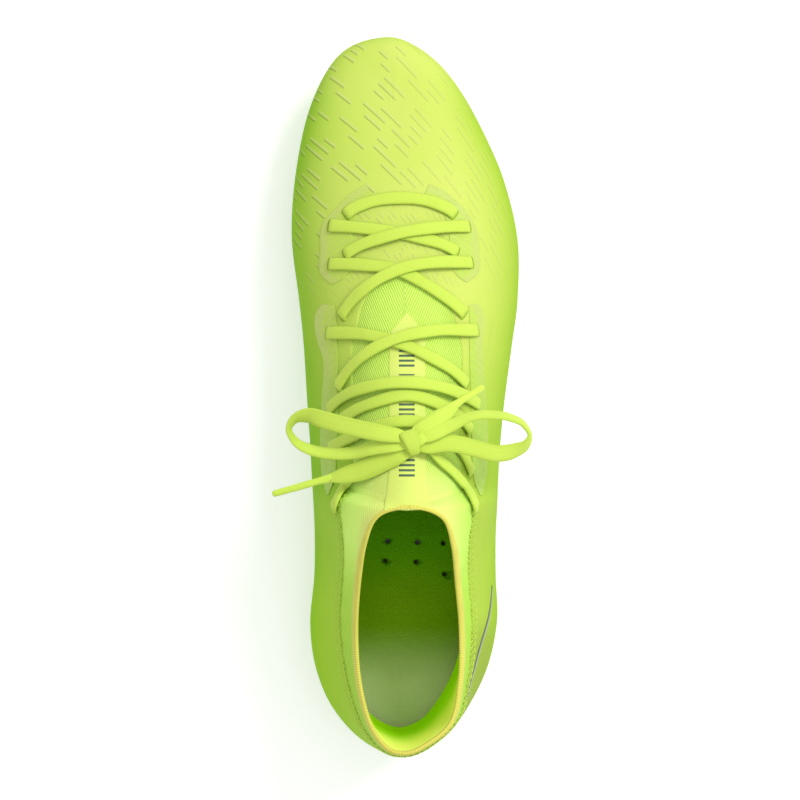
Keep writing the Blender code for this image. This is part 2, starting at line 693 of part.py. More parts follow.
def eyestays():
    """Film reinforcements beside the lacing, a front and a rear piece on each side."""
    lift = -OVERLAY - OVERLAY_GAP
    rear_levels = (under_rear_eyestay, below_seam)
    for side, label in ((1, "lateral"), (-1, "medial")):
        front = sheet([band(side, *EYESTAY_FRONT, lift, 4)])
        shell("eyestay_" + label + "_front", front, OVERLAY, "overlay")
        rear = sheet([band(side, *EYESTAY_REAR, *rear_levels, lift, 4)])
        shell("eyestay_" + label + "_rear", rear, OVERLAY, "overlay")


def throat_strip():
    """The smooth strip down the middle of the knit, with a pointed front end."""
    rows = []
    for y in STRIP_ROWS:
        half = STRIP_HALF_WIDTH * min(1.0, 0.12 + (STRIP_ROWS[0] - y) / 9)
        row = []
        for part in (-1, -0.33, 0.33, 1):
            place, normal = on_upper(STRIP_MIDDLE + half * part, y)
            row.append(place + normal * (OVERLAY / 2 - KNIT_DEPTH + STRIP + GAP))
        rows.append(row)
    made = sheet([rows])
    bmesh.ops.recalc_face_normals(made, faces=made.faces[:])
    if sum(face.normal.z for face in made.faces) < 0:
        bmesh.ops.reverse_faces(made, faces=made.faces[:])
    shell("throat_strip", made, STRIP, "strip")


def tube(name, points, radius, count, look):
    """A round cord along a smooth curve through the points."""
    curve = bpy.data.curves.new(name, "CURVE")
    curve.dimensions = "3D"
    curve.bevel_depth = radius * MM
    curve.bevel_resolution = 2
    curve.use_fill_caps = True
    spline = curve.splines.new("POLY")
    path = curve_through(points, count)
    spline.points.add(count - 1)
    for point, place in zip(spline.points, path):
        point.co = (*(place * MM), 1)
    made = bpy.data.objects.new(name, curve)
    curve.materials.append(COLOURS[look])
    CLEAT.objects.link(made)


def bow():
    """The tied bow: its knot, two loops, two tails and their tips."""
    made = bmesh.new()
    size = Matrix.Diagonal((*KNOT_SIZE, 1))
    place = Matrix.Translation(Vector(KNOT) * MM)
    bmesh.ops.create_uvsphere(
        made, u_segments=10, v_segments=6, radius=MM / 2, matrix=place @ size
    )
    new_object("bow_knot", mesh_of(made, "bow_knot"), "lace")
    for name, points in BOW.items():
        tube(name, points, BOW_CORD / 2, 18 if "loop" in name else 7, "lace")
    for name, points in AGLETS.items():
        tube(name, points, AGLET_RADIUS, 2, "lace")


def main():
    for old in list(bpy.data.objects):
        bpy.data.objects.remove(old)
    for collection in (CLEAT, CUTTERS):
        bpy.context.scene.collection.children.link(collection)
    collar = upper()
    boolean(collar, binding())
    underfoot()
    eyestays()
    throat_strip()
    laces()
    bow()


main()
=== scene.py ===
"""The looks of a firm-ground soccer cleat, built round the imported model. Lengths are in mm until
a mesh is made. A station counts round the shoe's widest line, 0 at the toe and 19 at the heel,
negative on the inner side. A level is 0 at the feather line and 1 at the ridge or the rim."""

import math

import bmesh
import bpy
import numpy as np
from mathutils import Matrix, Vector
from mathutils.bvhtree import BVHTree


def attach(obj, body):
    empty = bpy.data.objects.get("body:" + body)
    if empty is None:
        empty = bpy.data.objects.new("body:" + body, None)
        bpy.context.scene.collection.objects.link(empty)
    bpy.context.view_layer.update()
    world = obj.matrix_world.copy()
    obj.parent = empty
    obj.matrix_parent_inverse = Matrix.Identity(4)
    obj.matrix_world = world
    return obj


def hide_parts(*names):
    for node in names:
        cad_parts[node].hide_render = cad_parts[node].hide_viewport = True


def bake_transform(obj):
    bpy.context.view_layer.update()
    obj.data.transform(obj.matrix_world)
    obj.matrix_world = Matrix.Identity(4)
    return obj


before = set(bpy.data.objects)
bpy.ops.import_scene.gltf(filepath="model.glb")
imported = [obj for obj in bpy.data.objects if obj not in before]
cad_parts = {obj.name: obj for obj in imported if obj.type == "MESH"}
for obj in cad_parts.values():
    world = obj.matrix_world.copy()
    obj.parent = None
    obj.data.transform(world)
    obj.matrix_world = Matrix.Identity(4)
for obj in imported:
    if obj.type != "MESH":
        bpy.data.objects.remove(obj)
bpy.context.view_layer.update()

MM = 0.001
UP = (0.0, 0.0, 1.0)
# The widest line in plan from toe to heel: x, y of the inner side, then of the outer side.
EDGE = (
    (-6.4, 143.0, -6.4, 143.0), (-19.0, 140.6, 3.0, 140.2), (-28.0, 134.2, 13.5, 132.5),
    (-35.2, 122.2, 22.5, 121.2), (-40.6, 106.5, 31.0, 106.0), (-44.5, 84.0, 39.7, 86.0),
    (-45.5, 62.0, 45.3, 62.0), (-42.6, 38.0, 45.3, 38.0), (-40.7, 20.0, 43.0, 20.0),
    (-39.2, -3.0, 39.9, -3.0), (-38.0, -20.0, 38.2, -20.0), (-37.3, -33.0, 37.4, -33.0),
    (-36.6, -44.0, 36.9, -44.0), (-36.1, -57.0, 36.3, -57.0), (-36.3, -73.0, 36.3, -73.0),
    (-37.9, -92.0, 36.8, -91.0), (-35.6, -109.8, 32.8, -109.8), (-28.6, -126.0, 24.3, -126.0),
    (-16.5, -138.6, 12.5, -138.6), (-2.0, -143.0, -2.0, -143.0),
)
# The ridge over the instep, from the toe back to the collar: x, y, z.
RIDGE = (
    (-5.0, 112.0, 45.5), (-4.8, 110.0, 46.1), (-4.6, 106.0, 47.4), (-4.2, 100.0, 49.4),
    (-3.6, 91.0, 52.3), (-2.6, 76.0, 57.2), (-1.4, 57.5, 63.0), (-0.4, 36.0, 70.4),
    (0.3, 15.0, 79.0), (0.8, -11.0, 91.0), (1.3, -28.5, 102.0), (1.7, -43.3, 114.0),
)
# The collar's rim from its front round to the heel: x, y, z inside, then outside.
RIM = (
    (-10.5, -46.5, 112.0, 14.0, -47.0, 111.5), (-15.9, -57.6, 105.0, 18.6, -58.0, 104.0),
    (-18.6, -73.5, 93.5, 20.7, -74.0, 93.0), (-19.7, -92.0, 84.5, 22.3, -92.0, 84.5),
    (-18.6, -110.3, 84.0, 22.0, -110.3, 84.0), (-14.6, -126.5, 88.0, 18.4, -127.0, 88.0),
    (-8.8, -135.4, 91.8, 6.6, -136.6, 92.0), (-2.0, -138.5, 93.0, -2.0, -138.5, 93.0),
)
HEEL = len(EDGE) - 1
COLLAR = len(RIDGE) - 1
# Pairs of a station and a value: the heights of the feather line and of the widest line, how far
# the feather line is set in, and the pull and the slope that shape the side above.
FEATHER_Z = ((0, 24.4), (0.35, 24.35), (1, 23.1), (2, 21), (4, 17), (6, 15.2), (8, 15.6),
             (10, 16.6), (12, 17), (19, 17))
BULGE_Z = ((0, 31), (3, 30), (6, 28), (9, 32), (12, 35), (19, 35))
INSET = ((0, 5.5), (6, 4.5), (8, 6.5), (10, 8), (13, 6), (16, 5), (19, 4.5))
RISE = ((0, 0.72), (4, 0.6), (8, 0.45), (11, 0.33), (13, 0.22), (19, 0.22))
REACH = ((0, 0.5), (6, 0.5), (9, 0.4), (12, 0.36), (19, 0.3))
PITCH = ((0, 0), (9, 0), (10.6, 0), (11, 0), (12, 46), (13, 68), (15, 74), (19, 80))
# The level of the skin's edge, and what the outer side adds to it.
SEAM = ((6.45, 1), (6.75, 0.86), (7, 0.8), (7.5, 0.745), (8, 0.705), (9, 0.69), (10, 0.67),
        (11, 0.64), (12, 0.74), (13, 0.77), (15, 0.77), (16, 0.8), (17, 0.82), (19, 0.84))
OUTER_SEAM = ((10, 0), (12, 0.035), (16, 0.035), (18, 0))
APEX = SEAM[0][0]
BULGE = 0.22  # the level of the widest line
SKIN, KNIT, FILM = 1.5, 1.4, 0.26  # thicknesses


def smooth(knots, where):
    """A smooth curve through the knots, which are pairs of a place and a value or vector."""
    x = np.array([k[0] for k in knots], float)
    y = np.array([np.atleast_1d(k[1]) for k in knots], float)
    where = np.clip(np.asarray(where, float), x[0], x[-1])
    slope = np.gradient(y, x, axis=0)
    i = np.clip(np.searchsorted(x, where, side="right") - 1, 0, len(x) - 2)
    step = (x[i + 1] - x[i])[..., None]
    f = ((where - x[i]) / (x[i + 1] - x[i]))[..., None]
    value = (
        (2 * f**3 - 3 * f**2 + 1) * y[i]
        + (f**3 - 2 * f**2 + f) * step * slope[i]
        + (3 * f**2 - 2 * f**3) * y[i + 1]
        + (f**3 - f**2) * step * slope[i + 1]
    )
    return value[..., 0] if y.shape[1] == 1 else value


def around(points, index):
    """The Catmull-Rom curve round a closed row of points, at places counted in points."""
    points = np.asarray(points, float)
    i = np.floor(index).astype(int)
    f = (index - i)[..., None]
    a, b, c, d = (points[(i + k) % len(points)] for k in (-1, 0, 1, 2))
    return b + 0.5 * f * (c - a + f * (2 * a - 5 * b + 4 * c - d + f * (3 * (b - c) + d - a)))


EDGE_LOOP = [row[2:] for row in EDGE] + [row[:2] for row in EDGE[HEEL - 1 : 0 : -1]]
RIM_LOOP = [RIDGE[COLLAR]] + [row[3:] for row in RIM] + [row[:3] for row in RIM[-2::-1]]


def wrap(station):
    return (np.asarray(station, float) + HEEL) % (2 * HEEL) - HEEL


def edge(station):
    return around(EDGE_LOOP, np.asarray(station, float) % len(EDGE_LOOP))


def top(station):
    """The upper end of a column: on the ridge in front, on the collar's rim behind."""
    station = wrap(station)
    ridge = smooth(list(enumerate(RIDGE)), np.abs(station))
    behind = np.where(station >= 0, station - COLLAR, len(RIM_LOOP) + station + COLLAR)
    rim = around(RIM_LOOP, behind % len(RIM_LOOP))
    return np.where((np.abs(station) <= COLLAR)[..., None], ridge, rim)


def upright(flat, z):
    return np.concatenate([flat, np.broadcast_to(z, flat.shape[:-1])[..., None]], axis=-1)


def ridge_run(place):
    """The ridge's direction at a station, of unit length in plan."""
    nearby = np.clip(place, 0.02, COLLAR - 0.02)
    run = top(nearby + 0.01) - top(nearby - 0.01)
    return run / np.linalg.norm(run[..., :2], axis=-1, keepdims=True)


def unit(vectors):
    return vectors / np.maximum(np.linalg.norm(vectors, axis=-1, keepdims=True), 1e-12)


def surface(station, level):
    """Points of the upper's outer face, as the CAD model has it."""
    station, level = np.broadcast_arrays(np.asarray(station, float), np.asarray(level, float))
    place = np.abs(wrap(station))
    flat = edge(station)
    along = unit(edge(station + 0.01) - edge(station - 0.01))
    inward = np.stack([along[..., 1], -along[..., 0]], axis=-1)
    feather_z = smooth(FEATHER_Z, place)
    bulge_z = smooth(BULGE_Z, place)
    feather = upright(flat + inward * smooth(INSET, place)[..., None], feather_z)
    bend = upright(flat, feather_z + 0.3 * (bulge_z - feather_z))
    wide = upright(flat, bulge_z)
    crown = top(station)
    across = crown[..., :2] - flat
    width = np.linalg.norm(across, axis=-1)
    across = across / width[..., None]
    height = crown[..., 2] - bulge_z
    run = ridge_run(place)
    climb = (across * run[..., :2]).sum(-1) * run[..., 2]
    climb = np.where(place <= COLLAR, climb, 0)
    pitch = np.radians(smooth(PITCH, place))
    end = upright(across * np.cos(pitch)[..., None], climb * np.cos(pitch) + np.sin(pitch))
    reach = smooth(REACH, place) * (width * np.cos(pitch) + height * np.sin(pitch))
    first = wide + np.stack([0 * width, 0 * width, smooth(RISE, place) * height], axis=-1)
    second = crown - end * reach[..., None]
    f = np.clip(level / BULGE, 0, 1)[..., None]
    low = (1 - f) ** 2 * feather + 2 * f * (1 - f) * bend + f**2 * wide
    f = np.clip((level - BULGE) / (1 - BULGE), 0, 1)[..., None]
    high = (1 - f) ** 3 * wide + 3 * f * (1 - f) ** 2 * first
    high = high + 3 * f**2 * (1 - f) * second + f**3 * crown
    return np.where((level < BULGE)[..., None], low, high)


def outward(station, level):
    """Unit normals of the upper's outer face."""
    station, level = np.broadcast_arrays(np.asarray(station, float), np.asarray(level, float))
    rise = surface(station, np.minimum(level + 0.004, 1)) - surface(station, level - 0.004)
    run = surface(station + 0.01, level) - surface(station - 0.01, level)
    normal = np.cross(rise, run)
    run = ridge_run(np.abs(wrap(station)))
    ridge = upright(-run[..., :2] * run[..., 2:], 1.0)
    on_ridge = (level > 0.995) & (np.abs(wrap(station)) < COLLAR + 0.001)
    return unit(np.where(on_ridge[..., None], ridge, normal))


def seam(station):
    """The level of the skin's edge. It is higher on the outer side of the collar."""
    place = np.abs(wrap(station))
    outer = np.where(wrap(station) > 0, smooth(OUTER_SEAM, place), 0)
    return np.where(place <= APEX, 1.0, np.minimum(smooth(SEAM, place) + outer, 1.0))


def layer(station, level, depth):
    """Points below the outer face by a depth, or above it where the depth is negative."""
    depth = np.broadcast_to(np.asarray(depth, float), np.broadcast(station, level).shape)
    return surface(station, level) - outward(station, level) * depth[..., None]


# ---------------------------------------------------------------- building meshes

def run_along(points):
    """The distance from the first of a row of points to each."""
    return np.concatenate([[0], np.cumsum(np.linalg.norm(np.diff(points, axis=0), axis=1))])


def grid_faces(rows, columns, round_rows=False, round_columns=False):
    i, j = np.meshgrid(
        np.arange(rows - (not round_rows)), np.arange(columns - (not round_columns)), indexing="ij"
    )
    after, beside = (i + 1) % rows, (j + 1) % columns
    corners = (i * columns + j, i * columns + beside, after * columns + beside, after * columns + j)
    return np.stack(corners, axis=-1).reshape(-1, 4).tolist()


def shown(name, data):
    made = bpy.data.objects.new(name, data)
    bpy.context.scene.collection.objects.link(made)
    return made


def piece(name, points, faces, look, **marks):
    """A shown mesh from points in mm. The marks are vectors at its points, for the material."""
    points = np.asarray(points, float).reshape(-1, 3)
    mesh = bpy.data.meshes.new(name)
    mesh.from_pydata((points * MM).tolist(), [], faces)
    for mark, value in {"rest": points, **marks}.items():
        held = mesh.attributes.new(mark, "FLOAT_VECTOR", "POINT")
        value = np.broadcast_to(np.asarray(value, float).reshape(-1, 3), points.shape)
        held.data.foreach_set("vector", np.ascontiguousarray(value, np.float32).ravel())
    mesh.materials.append(look)
    mesh.shade_smooth()
    return shown(name, mesh)


def reworked(made, change):
    """Runs a change on a piece's mesh while it is open as a bmesh."""
    work = bmesh.new()
    work.from_mesh(made.data)
    change(work)
    work.to_mesh(made.data)
    work.free()
    made.data.shade_smooth()
    return made


def turn_out(work):
    bmesh.ops.recalc_face_normals(work, faces=work.faces[:])


def merge(work):
    """Joins points that meet, and drops the faces that this leaves with no area."""
    bmesh.ops.remove_doubles(work, verts=work.verts[:], dist=0.01 * MM)
    flat = [face for face in work.faces if face.calc_area() < 1e-11]
    bmesh.ops.delete(work, geom=flat, context="FACES_ONLY")


def face_up(made):
    """Turns an open sheet so that its outer face looks up."""
    if np.mean([polygon.normal.z for polygon in made.data.polygons]) < 0:
        made.data.flip_normals()
    return made


def thicken(made, thickness, rounded=0.0):
    """Grows an open sheet inward from its outer face, with rounded edges if asked."""
    solid = made.modifiers.new("thickness", "SOLIDIFY")
    solid.thickness = thickness * MM
    solid.offset = -1
    if rounded:
        bevel = made.modifiers.new("rounding", "BEVEL")
        bevel.width = rounded * MM
        bevel.segments = 2
        bevel.limit_method = "ANGLE"
        bevel.angle_limit = math.radians(50)
    return made


def shell(name, outer, inner, look, **marks):
    """A closed piece between two grids of points, with the same marks on both."""
    rows, columns = outer.shape[:2]
    count = rows * columns
    front = grid_faces(rows, columns)
    back = [[k + count for k in reversed(face)] for face in front]
    index = np.arange(count).reshape(rows, columns)
    rim = np.concatenate([index[0, :-1], index[:-1, -1], index[-1, :0:-1], index[:0:-1, 0]])
    edge_faces = [[a, a + count, b + count, b] for a, b in zip(rim, np.roll(rim, -1))]
    marks = {key: np.concatenate([value.reshape(-1, 3)] * 2) for key, value in marks.items()}
    points = np.concatenate([outer.reshape(-1, 3), inner.reshape(-1, 3)])
    made = piece(name, points, front + back + np.array(edge_faces).tolist(), look, **marks)
    return reworked(made, turn_out)


def joined(name, parts):
    """One piece from several, with the same material and marks."""
    work = bmesh.new()
    for part in parts:
        work.from_mesh(part.data)
    work.to_mesh(parts[0].data)
    work.free()
    for part in parts[1:]:
        bpy.data.objects.remove(part)
    parts[0].name = name
    parts[0].data.shade_smooth()
    return parts[0]


def applied(made):
    """Replaces a piece's mesh by what its modifiers make of it."""
    graph = bpy.context.evaluated_depsgraph_get()
    mesh = bpy.data.meshes.new_from_object(made.evaluated_get(graph))
    made.modifiers.clear()
    made.data = mesh
    return made


def bored(made, cutters):
    """Cuts the cutters out of a piece and removes them."""
    for cutter in cutters:
        change = made.modifiers.new("bore", "BOOLEAN")
        change.operation = "DIFFERENCE"
        change.object = cutter
    applied(made)
    for cutter in cutters:
        bpy.data.objects.remove(cutter)
    return made


def ribbon(name, centres, across, up, half_width, half_height, look, corners=14, closed=False,
           square=0.62, start=0.0):
    """A flat rounded section carried along centres. Its weave mark is along, across, face."""
    turns = 2 * np.pi * (np.arange(corners) + 0.5) / corners
    wide = np.sign(np.cos(turns)) * np.abs(np.cos(turns)) ** square
    high = np.sign(np.sin(turns)) * np.abs(np.sin(turns)) ** square
    half_width = np.broadcast_to(half_width, len(centres))[:, None]
    half_height = np.broadcast_to(half_height, len(centres))[:, None]
    x, y = wide * half_width, high * half_height
    points = centres[:, None] + across[:, None] * x[..., None] + up[:, None] * y[..., None]
    along = start + run_along(centres)[:, None] + 0 * x
    weave = np.stack([along, x, np.sign(high) + 0 * x], axis=-1)
    count = len(centres)
    faces = grid_faces(count, corners, closed, True)
    if not closed:
        faces.append(list(range(corners)))
        faces.append([(count - 1) * corners + k for k in reversed(range(corners))])
    made = piece(name, points, faces, look, weave=weave)
    return reworked(made, turn_out)


def curve_through(points, spacing=0.8, count=None):
    """Points at even steps along a smooth curve. Values beyond x, y, z are carried along."""
    points = np.array(points, float)
    steps = run_along(points[:, :3])
    fine = smooth(list(zip(steps, points)), np.linspace(0, steps[-1], 600))
    run = run_along(fine[:, :3])
    count = count or int(run[-1] / spacing) + 2
    places = np.linspace(0, run[-1], count)
    return np.stack([np.interp(places, run, column) for column in fine.T], axis=-1)


def soften(values, passes):
    """Evens out a row of vectors, keeping its ends."""
    for _ in range(passes):
        values = np.concatenate(
            [values[:1], (values[:-2] + 2 * values[1:-1] + values[2:]) / 4, values[-1:]]
        )
    return values


def frames(centres, normals):
    along = unit(np.gradient(centres, axis=0))
    across = unit(np.cross(along, normals))
    return along, across, np.cross(across, along)


def upper_tree():
    stations = np.linspace(-HEEL, HEEL, 458)
    levels = np.linspace(0.05, 1, 92)
    points = surface(stations[:, None], levels[None, :])
    return BVHTree.FromPolygons(
        [Vector(p) for p in points.reshape(-1, 3)], grid_faces(len(stations), len(levels))
    )


TREE = upper_tree()
RAY_Z, RAY_X = 300.0, 200.0  # where rays start above the shoe and beside it


def cast(starts, way):
    """Where rays meet the upper's outer face, and the normals there that face them."""
    hits = [TREE.ray_cast(Vector(start), Vector(way)) for start in starts.reshape(-1, 3)]
    places = [hit[0] for hit in hits]
    normals = [hit[1] if hit[1].dot(Vector(way)) < 0 else -hit[1] for hit in hits]
    return np.array(places).reshape(starts.shape), np.array(normals).reshape(starts.shape)


def drape(flat):
    """The highest points of the outer face at places in plan, and the normals there."""
    return cast(upright(np.asarray(flat, float), RAY_Z), (0, 0, -1))


def station_at(y):
    """The station whose columns stand at a place along the shoe."""
    return np.interp(y, [row[1] for row in EDGE][::-1], np.arange(len(EDGE))[::-1])


# ---------------------------------------------------------------- materials
class Value:
    """An output of a node. Arithmetic on it adds Math nodes to its material."""

    def __init__(self, look, socket):
        self.look, self.socket = look, socket

    def __add__(self, other):
        return self.look.math("ADD", self, other)

    def __sub__(self, other):
        return self.look.math("SUBTRACT", self, other)

    def __rsub__(self, other):
        return self.look.math("SUBTRACT", other, self)

    def __mul__(self, other):
        return self.look.math("MULTIPLY", self, other)

    def __truediv__(self, other):
        return self.look.math("DIVIDE", self, other)

    def __abs__(self):
        return self.look.math("ABSOLUTE", self)


class Look:
    """One material, with short calls that add nodes to it and return their outputs."""

    def __init__(self, name, **settings):
        self.made = bpy.data.materials.new(name)
        self.made.use_nodes = True
        self.tree = self.made.node_tree
        self.shader = self.tree.nodes["Principled BSDF"]
        for socket, value in settings.items():
            self.put(self.shader.inputs[socket.replace("_", " ")], value)

    def put(self, socket, value):
        if isinstance(value, Value):
            self.tree.links.new(value.socket, socket)
        elif isinstance(value, tuple) and len(value) == 3 and socket.type == "RGBA":
            socket.default_value = (*value, 1)
        else:
            socket.default_value = value

    def node(self, kind, inputs, output=0, **settings):
        """Adds a node and returns one of its outputs, or the first three for None."""
        made = self.tree.nodes.new("ShaderNode" + kind)
        for setting, value in settings.items():
            setattr(made, setting, value)
        for socket, value in inputs.items():
            self.put(made.inputs[socket], value)
        if output is None:
            return [Value(self, socket) for socket in made.outputs[:3]]
        return Value(self, made.outputs[output])

    def math(self, operation, a, b=0.0, c=0.0):
        return self.node("Math", {0: a, 1: b, 2: c}, operation=operation)

    def scaled_sum(self, a, b, c):
        return self.math("MULTIPLY_ADD", a, b, c)

    def held(self, name):
        """A mark as one vector at the shaded point."""
        return self.node("Attribute", {}, "Vector", attribute_type="GEOMETRY", attribute_name=name)

    def rest(self):
        """Where the shaded point is in mm with the shoe at rest."""
        return self.held("rest")

    def split(self, vector):
        return self.node("SeparateXYZ", {0: vector}, None)

    def mark(self, name):
        return self.split(self.held(name))

    def vector(self, x, y, z=0.0):
        return self.node("CombineXYZ", {0: x, 1: y, 2: z})

    def step(self, value, low, high, start=0.0, end=1.0):
        """Goes smoothly from start to end while the value goes from low to high."""
        inputs = {"Value": value, "From Min": low, "From Max": high, "To Min": start, "To Max": end}
        return self.node("MapRange", inputs, interpolation_type="SMOOTHSTEP")

    def wave(self, value, pitch):
        """A sine between 0 and 1 that repeats at the pitch."""
        return self.scaled_sum(self.math("SINE", value * (2 * math.pi / pitch)), 0.5, 0.5)

    def noise(self, where, scale, detail=2.0):
        return self.node("TexNoise", {"Vector": where, "Scale": scale, "Detail": detail}, "Fac")

    def chance(self, where, output):
        return self.node("TexWhiteNoise", {"Vector": where}, output, noise_dimensions="3D")

    def mix(self, share, a, b, blend_type="MIX"):
        inputs = {0: share, 6: a, 7: b}
        return self.node("Mix", inputs, 2, data_type="RGBA", blend_type=blend_type)

    def dim(self, colour, share, darker=0.6):
        """The colour darkened where the share is high."""
        return self.mix(share, colour, (darker, darker * 1.04, darker * 0.9), "MULTIPLY")

    def finish(self, colour, roughness=None, height=None, depth=0.1):
        """Links the colour, the roughness and a relief of that depth in mm."""
        self.put(self.shader.inputs["Base Color"], colour)
        if roughness is not None:
            self.put(self.shader.inputs["Roughness"], roughness)
        if height is not None:
            inputs = {"Height": height, "Distance": depth * MM, "Strength": 1.0}
            self.put(self.shader.inputs["Normal"], self.node("Bump", inputs))
        return self.made


NEON = (0.52, 0.61, 0.125)
# Painted shade: the darker greens of the lower inner side and the lower outer side.
NEON_INNER_SHADED = (0.185, 0.45, 0.0)
NEON_OUTER_SHADED = (0.25, 0.44, 0.010)


def dashes(look, x, y, spacing, cell, seed):
    """Broken diagonal lines: a thin dark line with a pale band beside it."""
    from_left = x + 30.0
    right = look.math("MAXIMUM", from_left, 0.0)
    bowed = right * right * 0.0045
    row = (look.scaled_sum(from_left, 0.77, y) + bowed) / spacing
    index = look.math("FLOOR", row)
    inside = row - index
    shift = look.chance(look.vector(index, 3.0, seed), "Value")
    along = x * 0.79 - y * 0.61
    along = look.scaled_sum(shift, 9.0, along / cell)
    place = look.math("FLOOR", along)
    within = along - place
    drawn = look.chance(look.vector(index, place, seed), "Color")
    first, second, third = look.node("SeparateColor", {0: drawn}, None)
    start = first * 0.25
    end = look.scaled_sum(second, 0.45, start + 0.28)
    kept = look.math("LESS_THAN", third, 0.9)
    after = within - start
    before = end - within
    on = look.step(after, 0.0, 0.04) * look.step(before, 0.0, 0.04) * kept
    line = abs(inside - 0.38)
    pale = abs(inside - 0.6)
    line = look.step(line, 0.03, 0.11, 1.0, 0.0) * on
    return line, look.step(pale, 0.06, 0.24, 1.0, 0.0) * on


def shaded_skin_base(look, x, y, level, where):
    """The skin's colour with painted light and shade: pale neon on top, darker green lower down the
    sides, darkest on the inner side and toward the rear. Also how much of the top's pale neon it
    has.
    """
    # painted light and shade: the top pale, the sides darker, most on the inner side and toward the
    # rear
    forward = look.step(y, -40.0, 40.0, 0.42, 1.0)
    forward = forward * look.step(x, -30.0, 5.0, 0.82, 1.0)
    raised = look.scaled_sum(look.step(y, 108.0, 142.0), 0.24, level)
    high = look.step(raised, 0.17, 0.74) * forward
    low = look.mix(look.step(x, -10.0, 20.0), NEON_INNER_SHADED, NEON_OUTER_SHADED)
    inner_rear_shade_tone = look.step(y, -95.0, -45.0, 0.6, 0.0) * look.step(x, -10.0, 10.0, 1.0, 0.0)
    low = look.mix(inner_rear_shade_tone, low, (0.30, 0.60, 0.0))
    base = look.mix(high, low, NEON)
    cloud = look.noise(where, 0.035, 2.0)
    base = look.mix(look.step(cloud, 0.35, 0.75, 0.0, 0.25), base, (0.40, 0.58, 0.045))
    return base, high


def heel_hatch(look, base, x, y, level, where):
    """The base with a slanting hatch on the outer side of the heel."""
    _, back, tall = look.split(where)
    slant = look.scaled_sum(tall, 0.58, back * 0.82)
    hatch = look.wave(look.scaled_sum(look.noise(where, 0.1, 2.0), 2.0, slant), 2.2)
    heel = look.step(y, -100.0, -84.0, 1.0, 0.0) * look.step(x, 20.0, 28.0)
    heel = heel * look.step(level, 0.25, 0.5)
    base = look.mix(heel * 0.6, base, (0.23, 0.35, 0.025))
    pale = look.step(hatch, 0.55, 0.95) * heel
    base = look.mix(pale * 0.5, base, (0.40, 0.47, 0.11))
    return look.dim(base, look.step(hatch, 0.0, 0.35, 0.7, 0.0) * heel, 0.7)


def skin_look():
    """The moulded skin: knit texture under a film, with printed and raised dashes."""
    look = Look("moulded_skin", Specular_IOR_Level=0.02)
    x, y, level = look.mark("print")
    where = look.rest()
    base, high = shaded_skin_base(look, x, y, level, where)
    # dashes over the forefoot, and short close strokes between the eyestays
    side = abs(x + 2.0)
    inlay = look.step(y, 34.0, 44.0) * look.step(y, 69.0, 76.0, 1.0, 0.0)
    inlay = inlay * look.step(side, 19.0, 26.0, 1.0, 0.0)
    front = look.math("MAXIMUM", look.step(y, 30.0, 62.0) - inlay, 0.0)
    inner = look.step(x, -18.0, 14.0, 1.0, 0.4)
    line, pale = dashes(look, x, y, 4.6, 18.0, 5.0)
    share = inner * front
    line, pale = line * share, pale * share
    fine, wide = dashes(look, x * 1.25, y, 3.1, 8.0, 2.0)
    wide = wide * (inlay * 0.85)
    base = look.dim(base, fine * inlay * 0.6, 0.72)
    # the pale bands are print, drawn stronger where the painted top light is
    bright = (pale + wide) * look.step(high, 0.0, 0.8, 0.3, 0.6)
    base = look.mix(bright, base, (0.49, 0.54, 0.185))
    base = look.dim(base, line * 0.85, 0.6)
    # fine long streaks behind the ball of the foot
    stretched = look.vector(x * 1.6, y * 0.06)
    streaks = look.step(look.noise(stretched, 1.0, 3.0), 0.5, 0.72)
    rear = look.step(y, 20.0, 50.0, 0.4, 0.0)
    base = look.dim(base, streaks * rear, 0.8)
    base = heel_hatch(look, base, x, y, level, where)
    # the knit under the film
    wale = look.wave(x + look.wave(y, 1.5) * 0.25, 0.9)
    knit = wale * look.wave(y, 0.75)
    base = look.dim(base, knit * 0.14, 0.75)
    grain = look.noise(where, 2.6, 3.0)
    height = knit * 0.3 + grain * 0.25
    height = look.scaled_sum(pale + wide, 0.7, height)
    height = look.scaled_sum(line, -0.6, height)
    return look.finish(base, look.step(grain, 0.3, 0.7, 0.55, 0.68), height, 0.10)


def film_look():
    """The clear film beside the lacing: a pale edge band, and a hatch inside it. It is darker green
    toward the rear, which is painted shade.
    """
    look = Look("clear_film", Specular_IOR_Level=0.25)
    along, across, _ = look.mark("weave")
    border = look.step(across, 2.4, 3.8, 1.0, 0.0)
    slant = along + across * 0.9
    hatch = look.step(look.wave(slant, 2.9), 0.45, 0.9)
    base = look.mix(hatch * 0.6, (0.44, 0.58, 0.08), (0.44, 0.53, 0.12))
    base = look.mix(border * 0.55, base, (0.46, 0.52, 0.15))
    # painted shade: darker green toward the rear, like the shaded skin at the sides beneath
    back = look.split(look.rest())[1]
    base = look.mix(look.step(back, -24.0, 34.0, 0.9, 0.1), base, (0.31, 0.49, 0.035))
    cloud = look.noise(look.rest(), 0.6, 3.0)
    base = look.dim(base, look.step(cloud, 0.4, 0.8, 0.0, 0.25), 0.8)
    height = look.scaled_sum(hatch, 0.6, cloud * 0.4)
    return look.finish(base, look.step(cloud, 0.3, 0.7, 0.45, 0.6), height, 0.06)


def paled(look, base):
    """The base with the smooth pale front that the throat and the collar share. Its wider reach on
    the inner side is painted light.
    """
    x, y, _ = look.split(look.rest())
    # the pale front reaches further round the inner side, as painted light against the shade there
    side = x - 1.4
    side = look.math("MAXIMUM", side, side * -0.78)
    share = look.step(y, -38.0, -20.0, 1.0, 0.0) * look.step(y, -80.0, -52.0)
    share = share * look.step(side, 12.0, 28.0, 0.95, 0.15)
    pale = look.mix(look.step(side, 8.0, 18.0), (0.64, 0.75, 0.18), (0.66, 0.92, 0.19))
    return look.mix(share, base, pale)


